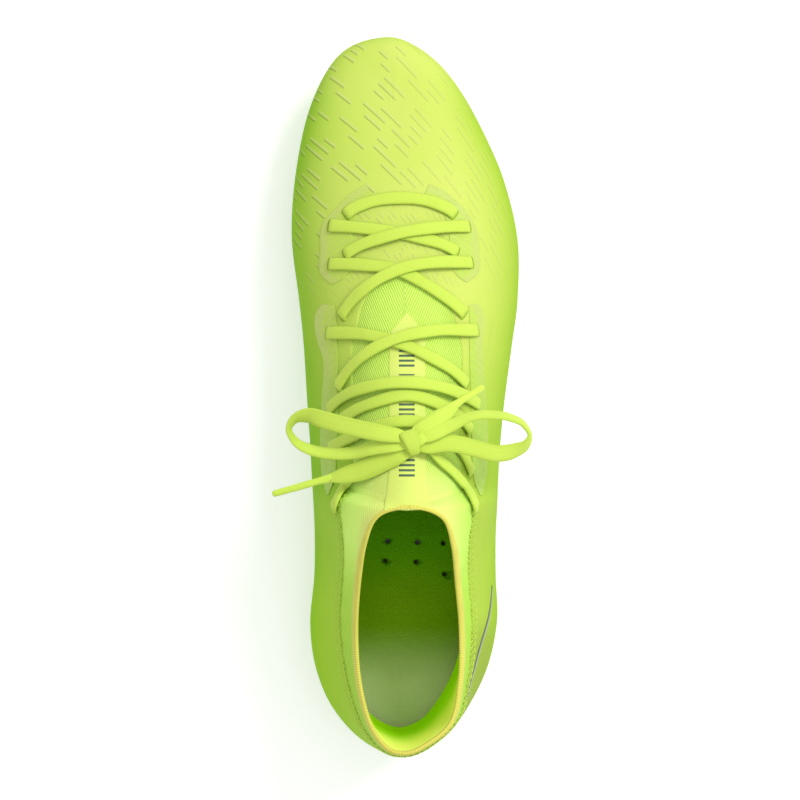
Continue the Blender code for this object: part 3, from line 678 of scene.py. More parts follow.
def knit_look(name, light, dark, pitch, fan, depth, edge=0.0):
    """A ribbed knit. The ribs run along y of the print mark, leaning outward by the fan.
    By the edge's share it has painted shade toward its sides, where it goes under the skin's edge."""
    look = Look(name, Roughness=0.85, Sheen_Weight=0.06, Specular_IOR_Level=0.1)
    x, y, _ = look.mark("print")
    side = abs(x)
    lean = side - y * fan
    wobble = look.noise(look.rest(), 0.25, 2.0) * 0.5
    rib = look.wave(lean + wobble, pitch)
    loop = look.wave(look.scaled_sum(side, 0.6, y), pitch * 0.75)
    stitch = rib * look.scaled_sum(loop, 0.45, 0.55)
    cloud = look.noise(look.rest(), 0.12, 3.0)
    base = look.mix(look.step(stitch, 0.1, 0.75), dark, light)
    base = look.dim(base, look.step(cloud, 0.45, 0.8, 0.0, 0.25), 0.8)
    if edge:
        # painted shade toward the sides, where the knit goes under the skin's edge
        base = look.dim(base, look.step(side, 12.0, 21.0, 0.0, edge), 0.68)
        base = paled(look, base)
        base = look.dim(base, look.step(stitch, 0.0, 0.5, 0.5, 0.0), 0.8)
    fuzz = look.noise(look.rest(), 5.0, 2.0)
    return look.finish(base, None, look.scaled_sum(fuzz, 0.15, stitch), depth)


def collar_look():
    """The collar's knit. Its fine ribs run along the shoe, and its front is smooth and pale."""
    look = Look("collar_knit_cloth", Roughness=0.85, Sheen_Weight=0.06, Specular_IOR_Level=0.1)
    where = look.rest()
    x, y, z = look.split(where)
    level = look.mark("print")[2]
    side = abs(x - 1.4)
    down = (114.0 - z) * 0.5
    wobble = look.noise(where, 0.2, 2.0) * 1.2
    rib = look.wave(side + down + wobble, 1.2)
    cloud = look.noise(where, 0.12, 3.0)
    base = look.mix(rib, (0.34, 0.60, 0.032), (0.45, 0.71, 0.065))
    base = look.dim(base, look.step(cloud, 0.45, 0.8, 0.0, 0.3), 0.8)
    base = look.dim(base, look.step(y, -110.0, -70.0, 0.5, 0.0), 0.8)
    base = paled(look, base)
    base = look.dim(base, look.step(rib, 0.0, 0.6, 0.6, 0.0), 0.8)
    tint = look.step(level, 0.9, 0.97) * 0.5
    base = look.mix(tint, base, (0.62, 0.60, 0.16))
    fuzz = look.noise(where, 5.0, 2.0)
    return look.finish(base, None, look.scaled_sum(fuzz, 0.2, rib), 0.12)


def glowing_lining_look():
    """A brushed lining, brighter toward the collar's edge: its faint glow is painted light, and its
    darker green lower down inside the heel is painted shade.
    """
    # the emission is painted light, a glow standing in for light through the thin collar
    look = Look("heel_lining_cloth", Roughness=0.9, Specular_IOR_Level=0.02,
                Emission_Color=(0.5, 1.0, 0.0), Emission_Strength=0.09)
    where = look.rest()
    level = look.mark("print")[1] / 100.0
    cloud = look.noise(where, 0.15, 3.0)
    # painted shade: darker green lower down inside the heel, lighter toward the collar's edge
    base = look.mix(look.step(level, 0.32, 0.8), (0.40, 0.80, 0.003), (0.88, 0.95, 0.18))
    base = look.dim(base, look.step(cloud, 0.4, 0.8, 0.0, 0.3), 0.8)
    fuzz = look.noise(where, 3.0, 3.0)
    return look.finish(base, None, fuzz, 0.15)


def lace_look():
    """A flat woven lace: chevrons across its width, with painted shade along its rounded edges."""
    look = Look("woven_lace", Roughness=0.8, Sheen_Weight=0.06, Specular_IOR_Level=0.12)
    along, across, _ = look.mark("weave")
    side = abs(across)
    chevron = look.wave(look.scaled_sum(side, 0.9, along), 0.95)
    cord = look.wave(across, 0.8)
    stitch = look.scaled_sum(cord, 0.5, 0.5) * chevron
    cloud = look.noise(look.rest(), 0.2, 3.0)
    base = look.mix(look.step(stitch, 0.05, 0.7), (0.46, 0.62, 0.07), (0.51, 0.66, 0.095))
    base = look.dim(base, look.step(cloud, 0.45, 0.8, 0.0, 0.2), 0.82)
    # painted shade along the lace's rounded edges
    base = look.dim(base, look.step(side, 1.5, 2.9, 0.0, 0.5), 0.78)
    fuzz = look.noise(look.rest(), 6.0, 2.0)
    return look.finish(base, None, look.scaled_sum(fuzz, 0.3, stitch), 0.09)


def speckled(name, colour, other, scale, roughness, depth, **settings):
    """A plain material with fine grain, used for moulded, pressed and foamed pieces."""
    look = Look(name, **settings)
    grain = look.noise(look.rest(), scale, 3.0)
    cloud = look.noise(look.rest(), scale * 0.06, 2.0)
    base = look.mix(look.step(grain, 0.35, 0.7), colour, other)
    base = look.dim(base, look.step(cloud, 0.45, 0.8, 0.0, 0.3), 0.8)
    rough = look.step(grain, 0.3, 0.7, roughness * 0.85, min(1.0, roughness * 1.12))
    return look.finish(base, rough, grain, depth)


def sockliner_look():
    """A pale brushed cloth on foam. It turns dark green toward the toe, which is painted shade and
    painted green bounce light from the upper.
    """
    look = Look("sockliner_cloth", Specular_IOR_Level=0.05)
    where = look.rest()
    x, y, _ = look.split(where)
    grid = look.wave(x, 0.9) * look.wave(y, 0.9)
    cloud = look.noise(where, 0.06, 4.0)
    # painted shade and painted green bounce light: dark green from the middle of the foot forward,
    # pale at the heel
    base = look.mix(look.step(y, -124.0, -92.0), (0.56, 0.57, 0.38), (0.165, 0.285, 0.004))
    base = look.mix(look.step(y, -86.0, -58.0), base, (0.115, 0.32, 0.003))
    base = look.dim(base, look.step(cloud, 0.35, 0.7, 0.0, 0.3), 0.85)
    base = look.dim(base, grid * 0.35, 0.8)
    height = look.scaled_sum(look.noise(where, 3.0, 3.0), 0.6, grid)
    return look.finish(base, look.step(cloud, 0.3, 0.7, 0.8, 0.95), height, 0.12)


SKIN_LOOK = skin_look()
FILM_LOOK = film_look()
THROAT_LOOK = knit_look("throat_knit_cloth", (0.64, 0.82, 0.18), (0.43, 0.68, 0.06), 0.98, 0.42,
                        0.2, 0.35)
COLLAR_LOOK = collar_look()
BAND_LOOK = knit_look("elastic_band", (0.66, 0.61, 0.11), (0.54, 0.52, 0.08), 1.0, 0.0, 0.08)
LACE_LOOK = lace_look()
STRIP_LOOK = speckled("pressed_strip", (0.60, 0.70, 0.15), (0.58, 0.68, 0.135), 1.4, 0.6, 0.04,
                      Specular_IOR_Level=0.15)
INK_LOOK = speckled("teal_ink", (0.05, 0.10, 0.065), (0.07, 0.14, 0.09), 4.0, 0.5, 0.03)
GLOWING_LINING_LOOK = glowing_lining_look()
SOCKLINER_LOOK = sockliner_look()
# The board is dark so that the sockliner's vents look dark: painted shade down the vents.
BOARD_LOOK = speckled("fibre_board", (0.11, 0.15, 0.04), (0.08, 0.11, 0.03), 2.0, 0.9, 0.1)
STIFFENER_LOOK = speckled("stiffener_felt", (0.80, 0.80, 0.75), (0.68, 0.68, 0.62), 2.5, 0.85, 0.08)
PLATE_LOOK = speckled("moulded_plate", (0.40, 0.74, 0.05), (0.46, 0.80, 0.07), 1.2, 0.32, 0.04,
                      Coat_Weight=0.2, Coat_Roughness=0.2)
STUD_LOOK = speckled("moulded_stud", (0.018, 0.060, 0.055), (0.026, 0.080, 0.072), 1.5, 0.35, 0.04)
SHANK_LOOK = speckled("shank_composite", (0.02, 0.02, 0.022), (0.05, 0.05, 0.055), 3.0, 0.4, 0.05)
THREAD_LOOK = speckled("sewing_thread", (0.50, 0.66, 0.09), (0.42, 0.60, 0.06), 5.0, 0.7, 0.06)
TIP_LOOK = speckled("lace_tip_film", (0.50, 0.68, 0.07), (0.54, 0.70, 0.09), 2.5, 0.45, 0.06,
                    Specular_IOR_Level=0.2)
HOLE_LOOK = speckled("eyelet_shadow", (0.20, 0.32, 0.003), (0.24, 0.37, 0.008), 2.0, 0.9, 0.05)
STRIPE_LOOK = speckled("stripe_film", (0.035, 0.06, 0.03), (0.06, 0.09, 0.05), 2.5, 0.35, 0.03)
SILVER_LOOK = speckled("silver_film", (0.30, 0.37, 0.20), (0.22, 0.28, 0.13), 2.5, 0.4, 0.03,
                       Metallic=0.2)


def whole(made, slot_name, *nodes):
    """A piece that runs across the ball of the foot, baked into world space and left without a
    body.
    """
    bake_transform(made)
    return finished(made, slot_name, *nodes)


def rigid(made, body, slot_name, *nodes):
    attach(made, body)
    return finished(made, slot_name, *nodes)


def finished(made, slot_name, *nodes):
    if nodes:
        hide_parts(*nodes)
    return made


# ---------------------------------------------------------------- the moulded upper
def dense(*spans):
    """Stations in order: each span is its start, its end and its number of steps."""
    parts = [np.linspace(a, b, n, endpoint=False) for a, b, n in spans]
    return np.concatenate(parts + [[spans[-1][1]]])


def loop_of(half):
    """The same stations on both sides, inner side first, without the heel twice."""
    return np.concatenate([-half[::-1], half[1:-1]])


def unrolled(station, points):
    """Where points of columns lie in plan once the columns are rolled out flat from the top."""
    crown = top(station)[:, None]
    start = np.linalg.norm(points[:, -1] - crown[:, 0], axis=-1)[:, None]
    step = np.linalg.norm(np.diff(points, axis=1), axis=-1)[:, ::-1]
    run = np.concatenate([start, start + np.cumsum(step, axis=1)], axis=1)[:, ::-1]
    away = unit(surface(station, BULGE)[:, :2] - crown[:, 0, :2])
    return crown[..., :2] + away[:, None] * run[..., None]


UPPER_COLUMNS = dense((0, 2, 26), (2, 6, 46), (6, 6.45, 8), (6.45, 6.75, 14), (6.75, 7.3, 14),
                      (7.3, 11, 50), (11, 16, 62), (16, 19, 46))


def upper():
    stations = loop_of(UPPER_COLUMNS)
    rows = 74
    part = np.linspace(0, 1, rows)
    levels = seam(stations)[:, None] * part[None, :]
    points = surface(stations[:, None], levels)
    normals = outward(stations[:, None], np.maximum(levels, 0.01))
    # the skin's edge thins out round the throat and the collar
    fade = np.where(np.abs(stations)[:, None] > APEX, np.clip((part - 0.965) / 0.035, 0, 1), 0)
    points = points - normals * (0.25 * fade**2)[..., None]
    flat = unrolled(stations, points)
    marks = np.concatenate([flat, levels[..., None]], axis=-1)
    # the lower edge turns in under the foot
    tuck = points[:, :1].copy()
    tuck[:, 0, :2] -= unit(tuck[:, 0, :2] * [1, 0.35]) * 2.5
    tuck[:, 0, 2] += 0.1
    points = np.concatenate([tuck, points], axis=1)
    marks = np.concatenate([marks[:, :1], marks], axis=1)
    made = piece("moulded_upper", points, grid_faces(len(stations), rows + 1, True), SKIN_LOOK,
                 print=marks)
    reworked(made, merge)
    thicken(made, SKIN)
    return whole(made, "skin", "upper_toe", "upper_flex_zone", "upper_rear")


def throat():
    """The ribbed knit under the laces, tucked in below the skin's edge."""
    half = dense((APEX - 0.1, 6.75, 20), (6.75, 7.3, 14), (7.3, 10.97, 54))
    parts = []
    for side in (1, -1):
        stations = side * half[:: side]
        low = np.where(np.abs(stations) < APEX, 0.93, seam(stations) - 0.05)
        part = np.linspace(0, 1, 30)
        levels = low[:, None] + (1 - low)[:, None] * part
        # the rear end dips under the collar
        sunk = 1.5 * np.clip((np.abs(stations) - 10.8) / 0.17, 0, 1) ** 2
        points = layer(stations[:, None], levels, 0.35 + sunk[:, None])
        marks = np.concatenate([unrolled(stations, points), levels[..., None]], axis=-1)
        marks[..., 0] -= 0.3
        parts.append(piece("throat_half", points, grid_faces(len(stations), 30), THROAT_LOOK,
                           print=marks))
    made = reworked(joined("throat_knit_ribs", parts), merge)
    thicken(made, KNIT)
    return whole(made, "knit", "throat_knit")


def collar():
    """The knitted collar, with ribs that run up to its edge."""
    half = dense((10.5, 11, 12), (11, 12, 30), (12, 19, 130))
    stations = np.concatenate([half, -half[-2::-1]])
    rows = 40
    part = np.linspace(0, 1, rows)
    low = seam(stations) - 0.045
    high = 1 - 0.015 * np.clip((np.abs(stations) - COLLAR) / 0.5, 0, 1)
    levels = low[:, None] + (high - low)[:, None] * part
    rim = top(stations)
    run = run_along(rim)
    depth = 0.45 - 0.06 * np.sin(run[:, None] * 2 * np.pi / 9.0) * np.sin(np.pi * part) ** 0.5
    normals = outward(stations[:, None], levels)
    for _ in range(30):  # the two sides meet at the front, where the face turns sharply
        normals[1:-1] = unit(normals[:-2] + 2 * normals[1:-1] + normals[2:])
    face = surface(stations[:, None], levels)
    points = face - normals * depth[..., None]
    rise = np.linalg.norm(np.diff(points, axis=1), axis=-1)
    rise = np.concatenate([0 * run[:, None], np.cumsum(rise, axis=1)], axis=1)
    marks = np.stack([run[:, None] + 0 * rise + 400, rise, levels], axis=-1)
    inside_face = face - normals * (depth + KNIT)[..., None]
    made = shell("collar_knit", points, inside_face, COLLAR_LOOK, print=marks)
    return rigid(made, "rear", "knit", "ankle_collar")


def rim_frames(count):
    """Evenly spaced places round the collar's edge, with its outward and upward directions."""
    spans = ((COLLAR, HEEL), (-HEEL, -COLLAR))
    station = np.concatenate([np.linspace(*span, 400, endpoint=False) for span in spans])
    rim = top(station)
    run = np.linalg.norm(np.roll(rim, -1, axis=0) - rim, axis=1)
    run = np.concatenate([[0], np.cumsum(run)])
    places = np.linspace(0, run[-1], count, endpoint=False)
    unwrapped = np.where(station < 0, station + 2 * HEEL, station)
    unwrapped = np.concatenate([unwrapped, [2 * HEEL - COLLAR]])
    station = wrap(np.interp(places, run, unwrapped))
    rim = top(station)
    along = unit(np.roll(rim, -1, axis=0) - np.roll(rim, 1, axis=0))
    out = outward(station, np.full(count, 0.99))
    for _ in range(60):  # evens out the turn at the front, where the two sides meet
        out = (np.roll(out, 4, axis=0) + 2 * out + np.roll(out, -4, axis=0)) / 4
        along = (np.roll(along, 4, axis=0) + 2 * along + np.roll(along, -4, axis=0)) / 4
    along = unit(along)
    out = unit(out - along * (out * along).sum(-1, keepdims=True))
    rise = np.cross(along, out)
    rise = rise * np.sign(rise[:, 2:])
    return rim, out, rise


def rim_band():
    """The elastic band over the collar's edge, with its fine cross ribs."""
    count = 1100
    rim, out, rise = rim_frames(count)
    swell = 0.05 * np.sin(np.arange(count) * 2 * np.pi / 4.0 + 0.4)
    tall = np.interp(rim[:, 1], [-66.0, -49.0], [2.3, 0.75])
    thick = np.interp(rim[:, 1], [-66.0, -49.0], [0.95, 0.65])
    centres = rim - out * (thick + 0.3)[:, None] - rise * (tall + 0.2)[:, None]
    made = ribbon("elastic_rim", centres, out, rise, thick + swell, tall + swell, BAND_LOOK, 16,
                  True, 0.8)
    weave = np.empty(len(made.data.vertices) * 3, np.float32)
    made.data.attributes["weave"].data.foreach_get("vector", weave)
    held = made.data.attributes.new("print", "FLOAT_VECTOR", "POINT")
    held.data.foreach_set("vector", weave)
    return rigid(made, "rear", "band", "collar_binding")


THREAD_RADIUS = 0.17


def thread(name, points, corners=6):
    """A round thread along points, with its own frames."""
    points = np.asarray(points, float)
    along = unit(np.gradient(points, axis=0))
    guide = np.where(np.abs(along[:, 2:]) > 0.9, [[1.0, 0, 0]], [[0, 0, 1.0]])
    across = unit(np.cross(along, guide))
    return ribbon(name, points, across, np.cross(across, along), THREAD_RADIUS, THREAD_RADIUS,
                  THREAD_LOOK, corners, square=1.0)


ZIGZAG_PITCH = 1.15


def collar_stitching():
    """A zigzag seam between the skin and the collar, on both sides."""
    station = np.linspace(11.0, 2 * HEEL - 11.0, 1500)
    line = surface(wrap(station), seam(station))
    run = run_along(line)
    count = int(run[-1] / ZIGZAG_PITCH)
    places = np.linspace(0, run[-1], count * 5 + 1)
    station = wrap(np.interp(places, run, station))
    swing = 2 / np.pi * np.arcsin(np.sin(np.arange(len(places)) * np.pi / 5))
    rise = surface(station, seam(station)) - surface(station, seam(station) - 0.02)
    per_mm = 0.02 / np.linalg.norm(rise, axis=-1)
    levels = seam(station) + per_mm * (0.1 + 0.95 * swing)
    depth = np.where(swing > 0, 0.3, -0.02)
    made = thread("collar_zigzag", layer(station, levels, depth))
    return rigid(made, "rear", "knit")


STITCH, STITCH_PITCH = 1.9, 2.6


def edge_stitching():
    """Two straight rows of stitches in the skin along the collar's seam."""
    parts = []
    for back in (3.0, 4.3):
        station = np.linspace(11.6, 2 * HEEL - 11.6, 1500)
        rise = surface(wrap(station), seam(station)) - surface(wrap(station), seam(station) - 0.02)
        levels = seam(station) - back * 0.02 / np.linalg.norm(rise, axis=-1)
        line = layer(wrap(station), levels, -0.05)
        run = run_along(line)
        for k in range(int(run[-1] / STITCH_PITCH)):
            places = np.linspace(k * STITCH_PITCH, k * STITCH_PITCH + STITCH, 6)
            stitch = np.stack([np.interp(places, run, column) for column in line.T], axis=-1)
            parts.append(thread("stitch", stitch, corners=5))
    return rigid(joined("collar_topstitch", parts), "rear", "skin")


# ---------------------------------------------------------------- films and marks
# Each film between two lines in plan, the outer one first.
FILMS = {
    ("front", "medial"): (
        ((-15.5, 82.5), (-20.5, 79.5), (-27.0, 73.3), (-32.6, 66.8), (-33.4, 57), (-32.8, 46.5),
         (-28.6, 42.8)),
        ((-13.0, 78.0), (-16.0, 75.5), (-19.0, 70.5), (-20.3, 64.0), (-20.6, 56), (-21.0, 49.0),
         (-24.5, 44.8)),
    ),
    ("rear", "medial"): (
        ((-32.6, 35.2), (-34.6, 32.5), (-34.5, 21), (-32.3, 14.5), (-32.6, -3), (-33.0, -22.5),
         (-32.2, -33), (-30.2, -39.6)),
        ((-27.5, 34.5), (-27.0, 31), (-26.5, 21), (-26.2, 13), (-26.0, -3), (-26.4, -22.5),
         (-27.3, -33), (-29.4, -39.2)),
    ),
    ("front", "lateral"): (
        ((9.5, 82.5), (14.0, 80.6), (19.8, 76.2), (27.2, 67.2), (29.3, 56), (28.6, 47.0),
         (24.3, 43.4)),
        ((7.5, 78.2), (11.0, 76.6), (14.5, 72.0), (16.8, 65.0), (17.6, 56), (18.2, 49.2),
         (20.8, 45.4)),
    ),
    ("rear", "lateral"): (
        ((28.3, 35.2), (30.2, 32.5), (30.2, 20), (31.4, -3), (32.0, -13), (31.8, -26),
         (31.2, -34), (29.4, -39.6)),
        ((24.8, 34.5), (25.0, 31), (25.0, 20), (25.4, -3), (25.6, -13), (25.8, -26),
         (26.6, -34), (28.6, -39.2)),
    ),
}
FILM_LIFT = 0.3
FILM_ROWS, FILM_COLUMNS = 110, 14


def film(name, *lines):
    """A film laid on the upper between two lines in plan. Its mark holds the distance along the
    outer line and the distance in from it."""
    outer, inner = (
        curve_through(np.pad(np.array(line, float), ((0, 0), (0, 1))), count=FILM_ROWS)[:, :2]
        for line in lines
    )
    part = np.linspace(0, 1, FILM_COLUMNS)[None, :, None]
    flat = outer[:, None] * (1 - part) + inner[:, None] * part
    places, normals = drape(flat)
    width = np.linalg.norm(inner - outer, axis=1)[:, None] * part[..., 0]
    marks = np.stack([run_along(outer)[:, None] + 0 * width, width, 0 * width], axis=-1)
    made = piece(name, places + normals * FILM_LIFT, grid_faces(FILM_ROWS, FILM_COLUMNS),
                 FILM_LOOK, weave=marks)
    return thicken(face_up(made), FILM, 0.1)


def films():
    for (end, side), lines in FILMS.items():
        whole(film(f"film_{end}_{side}", *lines), "overlay", f"eyestay_{side}_{end}")


STRIP_ROWS = (31.2, 30.2, 28.5, 26, 24, 19, 14, 8, 2, -4, -10, -16, -22, -28, -33, -38, -42.1)
STRIP_MIDDLE = 0.8


def strip_half(y):
    """Half the strip's width, which grows from its point to the full width."""
    return 7.0 * np.clip(0.02 + (31.2 - y) / 8.2, 0, 1) + 2.0 * np.clip((-30 - y) / 13, 0, 1)


def throat_strip():
    rows = curve_through([(y, 0, 0) for y in STRIP_ROWS], 0.8)[:, 0]
    part = np.linspace(-1, 1, 17)
    x = STRIP_MIDDLE + strip_half(rows)[:, None] * part
    # the rear end follows the curve of the collar's front
    curved = np.clip((-30 - rows[:, None]) / 12, 0, 1) * 0.022 * (x - RIDGE[COLLAR][0]) ** 2
    flat = np.stack([x, rows[:, None] - curved], axis=-1)
    places, normals = drape(flat)
    points = places - normals * 0.1
    made = piece("throat_strip_film", points, grid_faces(len(rows), len(part)), STRIP_LOOK)
    thicken(face_up(made), 0.4, 0.15)
    return rigid(made, "rear", "strip", "throat_strip")


# Plain bars in groups down the strip: the place y where each one starts, and its width.
BARS = [(16.8, 0.8), (14.9, 0.8), (13.0, 0.8), (11.1, 0.8), (7.4, 0.5), (-2.0, 0.8), (-3.9, 0.8),
        (-5.8, 0.8), (-7.7, 0.8), (-9.6, 0.8), (-25.0, 0.8), (-26.9, 0.8), (-28.8, 0.8),
        (-30.7, 0.8)]


def strip_bars():
    parts = []
    for y, wide in BARS:
        grid = np.meshgrid(np.linspace(-2.4, 3.6, 14), [y, y - wide], indexing="ij")
        flat = np.stack(grid, axis=-1)
        places, normals = drape(flat)
        mark = piece("bar", places - normals * 0.02, grid_faces(14, 2), INK_LOOK)
        parts.append(face_up(mark))
    made = thicken(joined("strip_bars", parts), 0.12)
    return rigid(made, "rear", "strip")


# The stripe as seen from the outer side: places along the shoe, and heights.
STRIPE = ((-76.0, 47.8), (-84.0, 51.2), (-92.0, 56.0), (-100.0, 62.0), (-108.0, 67.0),
          (-113.0, 69.7), (-118.0, 71.8))


def heel_stripe():
    """A plain double line up the outer side of the heel."""
    line = curve_through(np.pad(np.array(STRIPE), ((0, 0), (0, 1))), 0.7)[:, :2]
    run = unit(np.gradient(line, axis=0))
    aside = np.stack([-run[:, 1], run[:, 0]], axis=-1)
    narrow = np.sin(np.linspace(0.12, np.pi - 0.12, len(line))) ** 0.5
    for name, look, shift, half in (("heel_line_dark", STRIPE_LOOK, 0.0, 0.6),
                                    ("heel_line_silver", SILVER_LOOK, 1.25, 0.42)):
        part = np.linspace(-1, 1, 5)
        away = (shift + half * narrow[:, None] * part)[..., None]
        side_on = line[:, None] + aside[:, None] * away
        starts = np.concatenate([np.full(side_on.shape[:-1] + (1,), RAY_X), side_on], axis=-1)
        places, normals = cast(starts, (-1, 0, 0))
        made = piece(name, places + normals * 0.22, grid_faces(len(line), 5), look)
        thicken(face_up(made), 0.3)
        rigid(made, "rear", "overlay")


# ---------------------------------------------------------------- laces
OVER = 1.7  # how far a run is lifted over the one that it crosses
# Lace runs in plan, each from eyelet to eyelet, with the lift over what lies under them.
LACES = {
    "lace_bar_1": ((-23.6, 69.6, 0), (-20, 72.4, 0), (-15.5, 74.3, 0), (-2, 76.4, 0),
                   (12, 74.3, 0), (16.4, 72.4, 0), (19.8, 69.7, 0)),
    "lace_2_under": ((-30.2, 66.2, 0), (-14, 64.2, 0), (4, 61, 0), (15, 57.8, 0), (20.8, 54.8, 0)),
    "lace_2_over": ((25.6, 65.6, 0), (9.7, 63.9, OVER), (-8, 60.2, OVER), (-18, 57, 0.6),
                    (-23.8, 53.8, 0)),
    "lace_3_under": ((-30.2, 50.9, 0), (-15.5, 49.9, 0), (-2, 47.5, 0), (9.5, 41, 0),
                     (17.5, 35.6, 0), (23.2, 30.2, 0)),
    "lace_3_over": ((26.6, 51.2, 0), (11.5, 50.3, OVER), (-2, 47.5, OVER), (-14.5, 40.3, OVER),
                    (-21, 34.6, 0.5), (-24.9, 29.2, 0)),
    "lace_4_under": ((-31, 23.6, 0), (-17.5, 22.9, 0), (-4, 19.7, 0), (9.5, 13.6, 0),
                     (17.5, 8.8, 0), (24.2, 2.6, 0)),
    "lace_4_over": ((28.6, 24.6, 0), (9.6, 23.2, OVER), (-4, 19.7, OVER), (-15.5, 13.2, OVER),
                    (-21.5, 8, 0.5), (-26.2, 1.2, 0)),
    "lace_5_under": ((-25.4, -11.4, 0), (-18, -6.6, 0), (-11.5, -4, 0), (1, -1.4, 0),
                     (13.5, -5, 0), (20.5, -9.4, 0), (25, -15.6, 0.4)),
    "lace_5_over": ((-30, -7.4, 0), (-26.5, -4, 0.2), (-21, -0.7, 0.8), (-11, 2, OVER),
                    (-1, 3, OVER), (13.5, 1.2, OVER), (21, -1, 0.8), (29, -5.0, 0)),
    "lace_6": ((-29.6, -21.9, 0.2), (-20.5, -17.5, 0.2), (-10, -13.5, 1.2), (2, -12, 1.6),
               (14, -16, 1.2), (21, -23, 0.2), (25.3, -32, 0)),
    "lace_end_medial": ((-27.2, -45.2, 0), (-24.8, -40, 0.2), (-20, -33.4, 0.4), (-14, -28.2, 0.6),
                        (-7, -24.4, 1.2), (0.5, -20.8, 4.4)),
    "lace_end_lateral": ((26.8, -45.2, 0), (23.8, -38.6, 0.2), (17.6, -31, 0.4),
                         (11.6, -25.6, 0.8), (5.4, -20.4, 4.4)),
}
HALF_WIDTH, HALF_HEIGHT, LIFT = 2.5, 0.78, 1.25  # the lace's section, and its height over the skin
DIVE, SINK = 1.8, 3.4  # the length over which an end goes down into its eyelet, and how deep
FREE_ENDS = ("lace_end_medial", "lace_end_lateral")  # these finish inside the knot
BENDING = ("lace_bar_1", "lace_2_under", "lace_2_over", "lace_3_under", "lace_3_over")


def laces():
    slots = []
    for number, (name, points) in enumerate(LACES.items()):
        path = curve_through(points, 0.7)
        ground, normals = drape(path[:, :2])
        normals = unit(soften(normals, 12))
        ground = soften(ground, 3)
        run = run_along(path[:, :2])
        ends = run if name in FREE_ENDS else np.minimum(run, run[-1] - run)
        sunk = np.clip(1 - ends / DIVE, 0, 1) ** 1.6 * SINK
        centres = ground + normals * (LIFT + soften(path[:, 2:], 10) - sunk[:, None])
        _, across, up = frames(centres, normals)
        waver = 0.12 * np.sin(run * 0.35 + number)
        made = ribbon(name + "_woven", centres, across, up, HALF_WIDTH + waver, HALF_HEIGHT,
                      LACE_LOOK, start=40.0 * number)
        if name in BENDING:
            whole(made, "lace", name)
        else:
            rigid(made, "rear", "lace", name)
        for at, beside in ((0, 1),) if name in FREE_ENDS else ((0, 1), (-1, -2)):
            inward = unit(ground[beside] - ground[at])
            slots.append(eyelet(ground[at] + inward * 0.45, normals[at], across[at], len(slots)))
    return whole(joined("eyelet_slots", slots), "skin")


def eyelet(place, normal, across, number):
    """The shaded slot that an end of the lace goes into, across the lace."""
    sides, half_width, half_length = 28, 2.6, 0.75
    run = np.cross(normal, across)
    centre = place + normal * 0.38
    points = []
    for ring in (0.6, 1.0):
        for turn in np.linspace(0, 2 * np.pi, sides, endpoint=False):
            aside = across * half_width * math.cos(turn) + run * half_length * math.sin(turn)
            points.append(centre - normal * 0.02 * (1 - ring) + ring * aside)
    points.append(centre)
    faces = [tuple(reversed(face)) for face in grid_faces(2, sides, False, True)]
    faces += [(k, (k + 1) % sides, 2 * sides) for k in range(sides)]
    made = piece(f"slot_{number}", points, faces, HOLE_LOOK)
    if np.mean([polygon.normal.dot(Vector(normal)) for polygon in made.data.polygons]) < 0:
        made.data.flip_normals()
    return made


# ---------------------------------------------------------------- the bow
# Each cord runs from the knot round its loop, through the knot and down its tail, as x, y, z,
# the turn of its face from level in degrees, and half its width.
BOW = {
    "bow_cord_medial": (
        (2.0, -18.2, 103.0, 20, 1.6), (-2, -16.4, 103.4, 14, 2.7), (-8, -15.4, 103.2, 8, 3.2),
        (-22.5, -12.4, 99.5, -4, 3.4), (-31, -10.2, 96.5, -12, 3.4), (-37.6, -8.6, 94, -34, 3.3),
        (-42.6, -10.4, 92.4, -62, 3.2), (-44.4, -14, 91.2, -76, 3.1),
        (-42.2, -18.2, 90.5, -66, 3.1), (-36.2, -21.6, 91, -52, 3.1), (-28.3, -23, 93, -46, 3.1),
        (-20, -22.8, 96, -44, 3.1), (-12, -21, 100.2, -36, 3.0), (-2.6, -19.8, 103, -20, 2.4),
        (2.2, -19.4, 102.9, 0, 1.5), (3.4, -20.8, 102.4, 6, 1.5), (1.2, -22.1, 102.0, 8, 2.1),
        (-1.6, -23.0, 102, 6, 3.3), (-7.7, -25.6, 100.2, 4, 3.9), (-17.2, -29.6, 96.6, 2, 3.9),
        (-24.5, -31.6, 93.8, 6, 2.9), (-28.6, -32.45, 91.9, 10, 1.7),
    ),
    "bow_cord_lateral": (
        (3.2, -19.6, 102.6, -12, 1.6), (8, -20.2, 102.2, -10, 2.7), (16, -19, 101, -6, 3.3),
        (26.2, -20.9, 97, -4, 3.35), (34.9, -23, 93, -8, 3.3), (41.8, -22, 90, -30, 3.2),
        (46.4, -19.6, 88.5, -58, 3.1), (47.8, -16.6, 88, -76, 3.0), (45.4, -12, 88.5, -72, 3.0),
        (39.8, -9.2, 91, -64, 3.0), (32.9, -8.2, 94, -60, 3.0), (25, -8.8, 97.5, -56, 3.0),
        (17, -12.4, 101.2, -36, 3.0), (8, -16.6, 104, -14, 2.3), (4.4, -17.4, 103.4, 0, 1.5),
        (3.0, -16.2, 103.2, 4, 1.5), (3.8, -14.7, 103.3, 6, 1.9), (6, -13.4, 103.4, 6, 2.7),
        (10.6, -11, 102, 4, 3.6), (15.4, -7.8, 98, 6, 3.1), (18.9, -4.5, 94, 8, 1.8),
    ),
}
AGLETS = {
    "medial": ((-28.0, -32.35, 92.1), (-33, -33.6, 90.5), (-42, -36.2, 88), (-50.8, -38.7, 85.5)),
    "lateral": ((18.5, -4.9, 94.3), (21.4, -2.9, 92.0), (25.6, -0.3, 88.6), (29.8, 2.4, 85.0)),
}
BOW_HALF_HEIGHT = 0.66
KNOT = np.array([2.8, -19.0, 102.6])
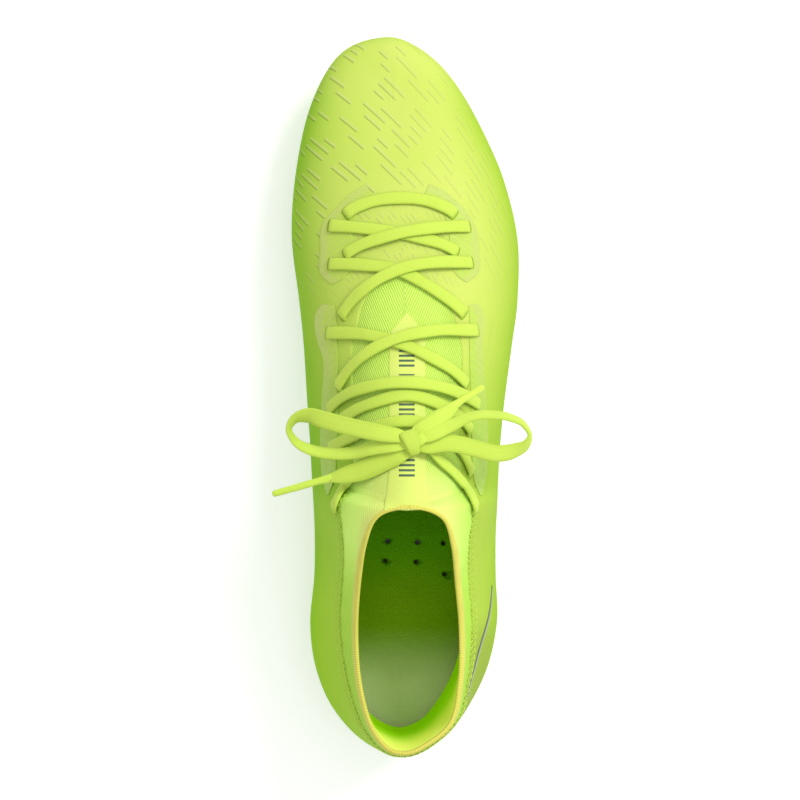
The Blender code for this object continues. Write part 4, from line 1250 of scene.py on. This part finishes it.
CORE = (5.6, 5.4, 4.6)  # the sizes of the knot's core
# The knot's wraps: shift, heading, half length and height, half width in front and behind, lean.
WRAPS = (
    ((-0.5, 0.2, 0.1), -16.0, 4.3, 3.1, 3.9, 1.9, 5.0),
    ((2.3, 0.8, -0.4), 40.0, 3.5, 2.6, 2.6, 1.7, 8.0),
    ((-2.2, -0.4, -0.9), -44.0, 3.0, 2.2, 2.2, 1.6, -8.0),
)


def turned(vectors, about, degrees):
    """Vectors turned about unit axes by angles in degrees."""
    angle = np.radians(degrees)[:, None]
    return vectors * np.cos(angle) + np.cross(about, vectors) * np.sin(angle)


def bow():
    for side, where in (("medial", 1), ("lateral", -1)):
        name = "bow_cord_" + side
        path = curve_through(BOW[name], 0.6)
        centres = path[:, :3]
        along, across, up = frames(centres, np.broadcast_to(UP, centres.shape))
        turn = path[:, 3] * where
        across, up = turned(across, along, turn), turned(up, along, turn)
        cord = ribbon(name, centres, across, up, path[:, 4], BOW_HALF_HEIGHT, LACE_LOOK,
                      start=700.0)
        rigid(cord, "rear", "lace", "bow_loop_" + side, "bow_tail_" + side)
        tip = aglet(side)


def aglet(side):
    """The gathered end of the lace and its clear plastic tip, with a pressed seam."""
    centres = curve_through(AGLETS[side], 0.45)
    _, across, up = frames(centres, np.broadcast_to(UP, centres.shape))
    part = np.linspace(0, 1, len(centres))
    wide = np.interp(part, [0, 0.12, 0.3, 0.34, 0.97, 1], [1.75, 1.5, 1.3, 1.42, 1.3, 1.0])
    thick = np.interp(part, [0, 0.12, 0.3, 0.34, 0.97, 1], [0.75, 1.0, 1.15, 1.27, 1.2, 0.9])
    made = ribbon("lace_tip_" + side, centres, across, up, wide, thick, TIP_LOOK, 18, square=0.95)
    return rigid(made, "rear", "lace", "aglet_" + side)


def knot():
    """The knot: bands of lace wrapped over each other round the crossing."""
    parts = []
    for number, (shift, heading, deep, tall, fore, aft, lean) in enumerate(WRAPS):
        turns = np.linspace(0, 2 * np.pi, 64, endpoint=False)
        heading, lean = math.radians(heading), math.radians(lean)
        forward = np.array([math.sin(heading), math.cos(heading), 0.0])
        side = unit(np.array([forward[1], -forward[0], math.sin(lean)]))
        upward = np.cross(side, forward)
        out = np.cos(turns)[:, None] * forward * deep + np.sin(turns)[:, None] * upward * tall
        centres = KNOT + shift + out + side * (0.5 * np.sin(turns + number)[:, None])
        along = unit(np.roll(centres, -1, axis=0) - np.roll(centres, 1, axis=0))
        across = unit(np.cross(along, unit(out)))
        width = (fore + aft) / 2 + (fore - aft) / 2 * np.cos(turns)
        parts.append(ribbon(f"wrap_{number}", centres, across, np.cross(across, along), width, 0.7,
                            LACE_LOOK, 14, True, start=900.0))
    core = bmesh.new()
    place = Matrix.Translation(Vector(KNOT) * MM) @ Matrix.Diagonal((*CORE, 1))
    bmesh.ops.create_icosphere(core, subdivisions=4, radius=MM / 2, matrix=place)
    points = np.array([v.co for v in core.verts]) / MM
    faces = [[v.index for v in face.verts] for face in core.faces]
    core.free()
    parts.append(piece("core", points, faces, LACE_LOOK, weave=points - KNOT))
    return rigid(joined("bow_knot_wraps", parts), "rear", "lace", "bow_knot")


# ---------------------------------------------------------------- under and inside the foot
SOLE_COLUMNS = dense((0.2, 3, 40), (3, 16, 130), (16, 18.8, 40))


def sole(inset, height, strips, by_column=False):
    """A grid between the two feather lines, moved inward by the inset and up by the height.
    The inset is one number, or pairs of a station and an inset. By column, the grid's edge
    keeps level with the upper's lower edge, and otherwise a row across is level."""
    ends = []
    if np.ndim(inset):
        inset = smooth(inset, SOLE_COLUMNS)[:, None]
    for side in (1, -1):
        place = side * SOLE_COLUMNS
        flat = surface(place, 0)[:, :2]
        run = unit((surface(place + 0.01, 0) - surface(place - 0.01, 0))[:, :2])
        flat = flat + np.stack([run[:, 1], -run[:, 0]], axis=-1) * inset
        station = SOLE_COLUMNS if by_column else station_at(flat[:, 1])
        ends.append(upright(flat, smooth(FEATHER_Z, station) + height))
    part = 0.5 - 0.5 * np.cos(np.linspace(0, np.pi, strips + 1))[None, :, None]
    return ends[0][:, None] * (1 - part) + ends[1][:, None] * part


def sole_sheet(name, inset, height, thickness, look, strips=28, rounded=0.0, by_column=False):
    points = sole(inset, height, strips, by_column)
    made = piece(name, points, grid_faces(len(SOLE_COLUMNS), strips + 1), look)
    return thicken(reworked(made, merge), thickness, rounded)


def cylinder(x, y, radius, low, high, sides=24):
    made = bmesh.new()
    middle = Matrix.Translation(Vector((x, y, (low + high) / 2)) * MM)
    bmesh.ops.create_cone(made, cap_ends=True, segments=sides, radius1=radius * MM,
                          radius2=radius * MM, depth=(high - low) * MM, matrix=middle)
    mesh = bpy.data.meshes.new("cutter")
    made.to_mesh(mesh)
    made.free()
    return shown("cutter", mesh)


VENTS = ((-7.0, -59.5), (5.0, -60.0), (15.5, -60.5), (-8.0, -67.5), (4.5, -68.0), (16.0, -73.0))
SHANK = (-11.0, 7.0, -66.0, 22.0)
LINER_INSET = ((0, 2.2), (12, 2.2), (15, 1.0), (19, 1.0))


def sockliner():
    liner = sole_sheet("sockliner_cloth", LINER_INSET, 6.3, 4.0, SOCKLINER_LOOK, 36, 0.5)
    bored(liner, [cylinder(x, y, 0.95, 10, 40) for x, y in VENTS])
    liner.data.shade_smooth()
    whole(liner, "sockliner", "sockliner_forefoot", "sockliner_rear")


def lasting_board():
    """The board, with a slot cut through it for the shank."""
    board = sole_sheet("lasting_board_whole", 4.4, 2.0, 2.0, BOARD_LOOK, 20, 0.2)
    x_from, x_to, y_from, y_to = SHANK
    slot = cylinder(0, 0, 1, 5, 30, 4)
    slot.data.transform(Matrix.Rotation(math.radians(45), 4, "Z"))
    half = math.sqrt(2) / 2
    size = Matrix.Diagonal(((x_to - x_from) * half, (y_to - y_from) * half, 1, 1))
    middle = Matrix.Translation(Vector(((x_from + x_to) / 2, (y_from + y_to) / 2, 0)) * MM)
    slot.data.transform(middle @ size)
    bored(board, [slot])
    whole(board, "board", "lasting_board_forefoot", "lasting_board_rear")


# The lining by level: its depth below the outer face, and the share of the padding it has there.
# The padding itself goes by station, on the outer side and on the inner side.
LINING_FROM, LINING_TO = 0.105, 0.965
LINING_DEPTH = ([LINING_FROM, 0.25, 0.5, 0.8, 0.92, LINING_TO], [4.7, 4.6, 4.2, 3.2, 1.7, 0.8])
PAD_SHARE = ([LINING_FROM, 0.3, 0.6, 0.8], [1.0, 1.0, 0.5, 0.0])
PAD_OUTER = ((12, 0.5), (13.2, 5.2), (15, 6.4), (17, 4.0), (19, 1.8))
PAD_INNER = ((12, 0.1), (14, 0.6), (16, 1.6), (17.5, 2.4), (19, 1.8))


def heel_lining():
    stations = loop_of(dense((12.5, 19, 120)))
    stations = np.concatenate([stations[stations > 0], stations[stations < 0]])
    levels = np.linspace(LINING_FROM, LINING_TO, 50)
    run = np.arange(len(stations))[:, None] * 0.9
    soft = 0.25 * np.sin(levels * 9)[None, :] * np.sin(run * 0.11)
    depth = np.interp(levels, *LINING_DEPTH)
    outer, inner = (smooth(pad, np.abs(stations)) for pad in (PAD_OUTER, PAD_INNER))
    pad = np.where(stations > 0, outer, inner)[:, None] * np.interp(levels, *PAD_SHARE)
    points = layer(stations[:, None], levels[None, :], depth + 0.5 * soft + pad)
    marks = np.stack([run + 0 * soft + 100, 100 * levels + 0 * soft, 0 * soft], axis=-1)
    lining = piece("heel_lining_cloth", points, grid_faces(len(stations), len(levels)),
                   GLOWING_LINING_LOOK, print=marks)
    thicken(lining, 1.2, 0.3)
    rigid(lining, "rear", "lining", "heel_lining")


STUDS = {
    "medial_1": (-24.0, 101.0), "lateral_1": (18.0, 101.0), "centre": (-2.0, 86.0),
    "medial_2": (-32.0, 74.0), "lateral_2": (31.0, 74.0), "medial_3": (-30.0, 42.0),
    "lateral_3": (33.0, 40.0), "heel_medial_1": (-22.0, -87.0), "heel_lateral_1": (20.0, -87.0),
    "heel_medial_2": (-18.0, -119.0), "heel_lateral_2": (14.0, -119.0),
}
FIXED = {"heel_medial_1", "heel_lateral_1", "heel_medial_2", "heel_lateral_2"}


def lathe(name, x, y, profile, look, sides=40):
    """A turned shape from its radii and heights, lowest first, about an upright line."""
    turns = np.linspace(0, 2 * np.pi, sides, endpoint=False)
    profile = np.array(profile, float)
    ring = np.stack([np.cos(turns), np.sin(turns), 0 * turns], axis=-1)
    points = ring[None] * profile[:, :1, None] + [[[x, y, 0]]] + profile[:, 1:, None] * [0, 0, 1]
    faces = [tuple(reversed(face)) for face in grid_faces(len(profile), sides, False, True)]
    faces.append(list(reversed(range(sides))))
    faces.append([(len(profile) - 1) * sides + k for k in range(sides)])
    return piece(name, points, faces, look)


PLATE = 3.3  # its thickness, which fills the CAD's small gap to the upper too


def plate_under(y):
    """The height of the plate's underside."""
    return smooth(FEATHER_Z, station_at(y)) - PLATE


def rib(x, y, across, half_width, half_height):
    """A rib under the plate, thinning out at both ends."""
    line = np.stack([x, y, plate_under(y) - 0.1], axis=-1)
    swell = np.sin(np.linspace(0.08, np.pi - 0.08, len(line))) ** 0.5
    across, up = (np.broadcast_to(way, line.shape) for way in (across, UP))
    return ribbon("rib", line, across, up, half_width * swell, half_height * swell, PLATE_LOOK, 10)


def outsole():
    """The plate with its stud bases and ribs, and the studs' tips."""
    plate = applied(sole_sheet("outsole_plate", -1.5, 0.0, PLATE, PLATE_LOOK, 30, 0.7, True))
    parts = [plate]
    for label, (x, y) in STUDS.items():
        under = float(plate_under(y))
        base = ((5.6, 8.75), (6.0, 8.9), (6.35, (under + 9) / 2), (7.0, under - 1.2),
                (7.9, under - 0.35), (9.6, under + 0.15), (9.6, under + 1.0))
        parts.append(lathe("base_" + label, x, y, base, PLATE_LOOK))
        tip = ((2.6, 0.25), (3.6, 0.0), (4.05, 0.15), (4.25, 0.6), (4.75, 3.2), (5.35, 6.0),
               (5.75, 8.0), (5.6, 8.6), (4.8, 8.7))
        stud = lathe("stud_tip_" + label, x, y, tip, STUD_LOOK)
        if label in FIXED:
            rigid(stud, "rear", "stud", "stud_" + label)
        else:
            whole(stud, "stud", "stud_" + label)
    for x_front, x_rear in ((-13, -9), (-6.5, -4.5), (0, 0), (6.5, 4.5), (13, 9)):
        y = np.linspace(34, -64, 60)
        parts.append(rib(np.interp(y, [-64, 34], [x_rear, x_front]), y, (1.0, 0, 0), 1.1, 1.2))
    for y in (112, 94, 62, 50):
        x = np.linspace(-1, 1, 50)
        half = np.interp(y, [50, 62, 94, 112], [22, 18, 15, 17])
        parts.append(rib(x * half, y - 7 * np.abs(x), (0, 1.0, 0), 0.9, 0.8))
    return whole(joined("outsole_with_bases", parts), "plate", "plate_forefoot", "plate_rear")


CARRIED_OVER = {"toe_puff": STIFFENER_LOOK, "heel_counter": STIFFENER_LOOK,
                "midfoot_shank": SHANK_LOOK}


def carried_over():
    """CAD nodes that keep their shape and get new materials."""
    for node, look in CARRIED_OVER.items():
        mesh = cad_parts[node].data
        held = mesh.attributes.new("rest", "FLOAT_VECTOR", "POINT")
        held.data.foreach_set("vector", np.array([v.co for v in mesh.vertices]).ravel() / MM)
        mesh.materials.clear()
        mesh.materials.append(look)


# ---------------------------------------------------------------- the studio
def lamp(name, place, target, size, power):
    """A round soft light that looks from its place at the target, with its size in metres."""
    light = bpy.data.lights.new(name, "AREA")
    light.shape = "DISK"
    light.size, light.energy = size, power
    made = shown(name, light)
    made.location = place
    way = Vector(target) - Vector(place)
    made.rotation_euler = way.to_track_quat("-Z", "Y").to_euler()


def studio():
    floor_look = Look("studio_floor", Roughness=0.9, Specular_IOR_Level=0.1,
                      Emission_Color=(1.0, 1.0, 1.0), Emission_Strength=0.32)
    read = floor_look.node("NewGeometry", {}, "Position")
    grain = floor_look.noise(read, 30.0, 2.0)
    shade = floor_look.mix(grain, (0.78, 0.78, 0.78), (0.80, 0.80, 0.80))
    mesh = bpy.data.meshes.new("studio_floor")
    half = 6.0
    mesh.from_pydata([(-half, -half, 0), (half, -half, 0), (half, half, 0), (-half, half, 0)], [],
                     [(0, 1, 2, 3)])
    mesh.materials.append(floor_look.finish(shade))
    floor = shown("studio_floor", mesh)
    lamp("key", (0.85, 0.75, 1.35), (0, 0, 0.04), 0.7, 20.5)
    lamp("overhead", (0.15, -0.1, 1.9), (0, 0, 0), 1.6, 9.5)
    world = bpy.data.worlds.new("studio")
    world.use_nodes = True
    background = world.node_tree.nodes["Background"].inputs
    background["Color"].default_value = (1, 1, 1, 1)
    background["Strength"].default_value = 0.67
    bpy.context.scene.world = world
    bpy.context.scene.view_settings.view_transform = "Standard"


def camera():
    """Straight above, with the toe at the top of the picture. Its numbers are in metres."""
    eye = bpy.data.cameras.new("camera")
    eye.lens, eye.sensor_width = 142.3, 36.0
    eye.clip_start, eye.clip_end = 0.05, 20.0
    made = shown("camera", eye)
    made.location = (-0.002, -0.0026, 1.3)
    bpy.context.scene.camera = made


camera()
bow()
knot()
upper()
throat()
collar()
rim_band()
collar_stitching()
edge_stitching()
films()
throat_strip()
strip_bars()
heel_stripe()
laces()
sockliner()
lasting_board()
heel_lining()
outsole()
carried_over()
studio()
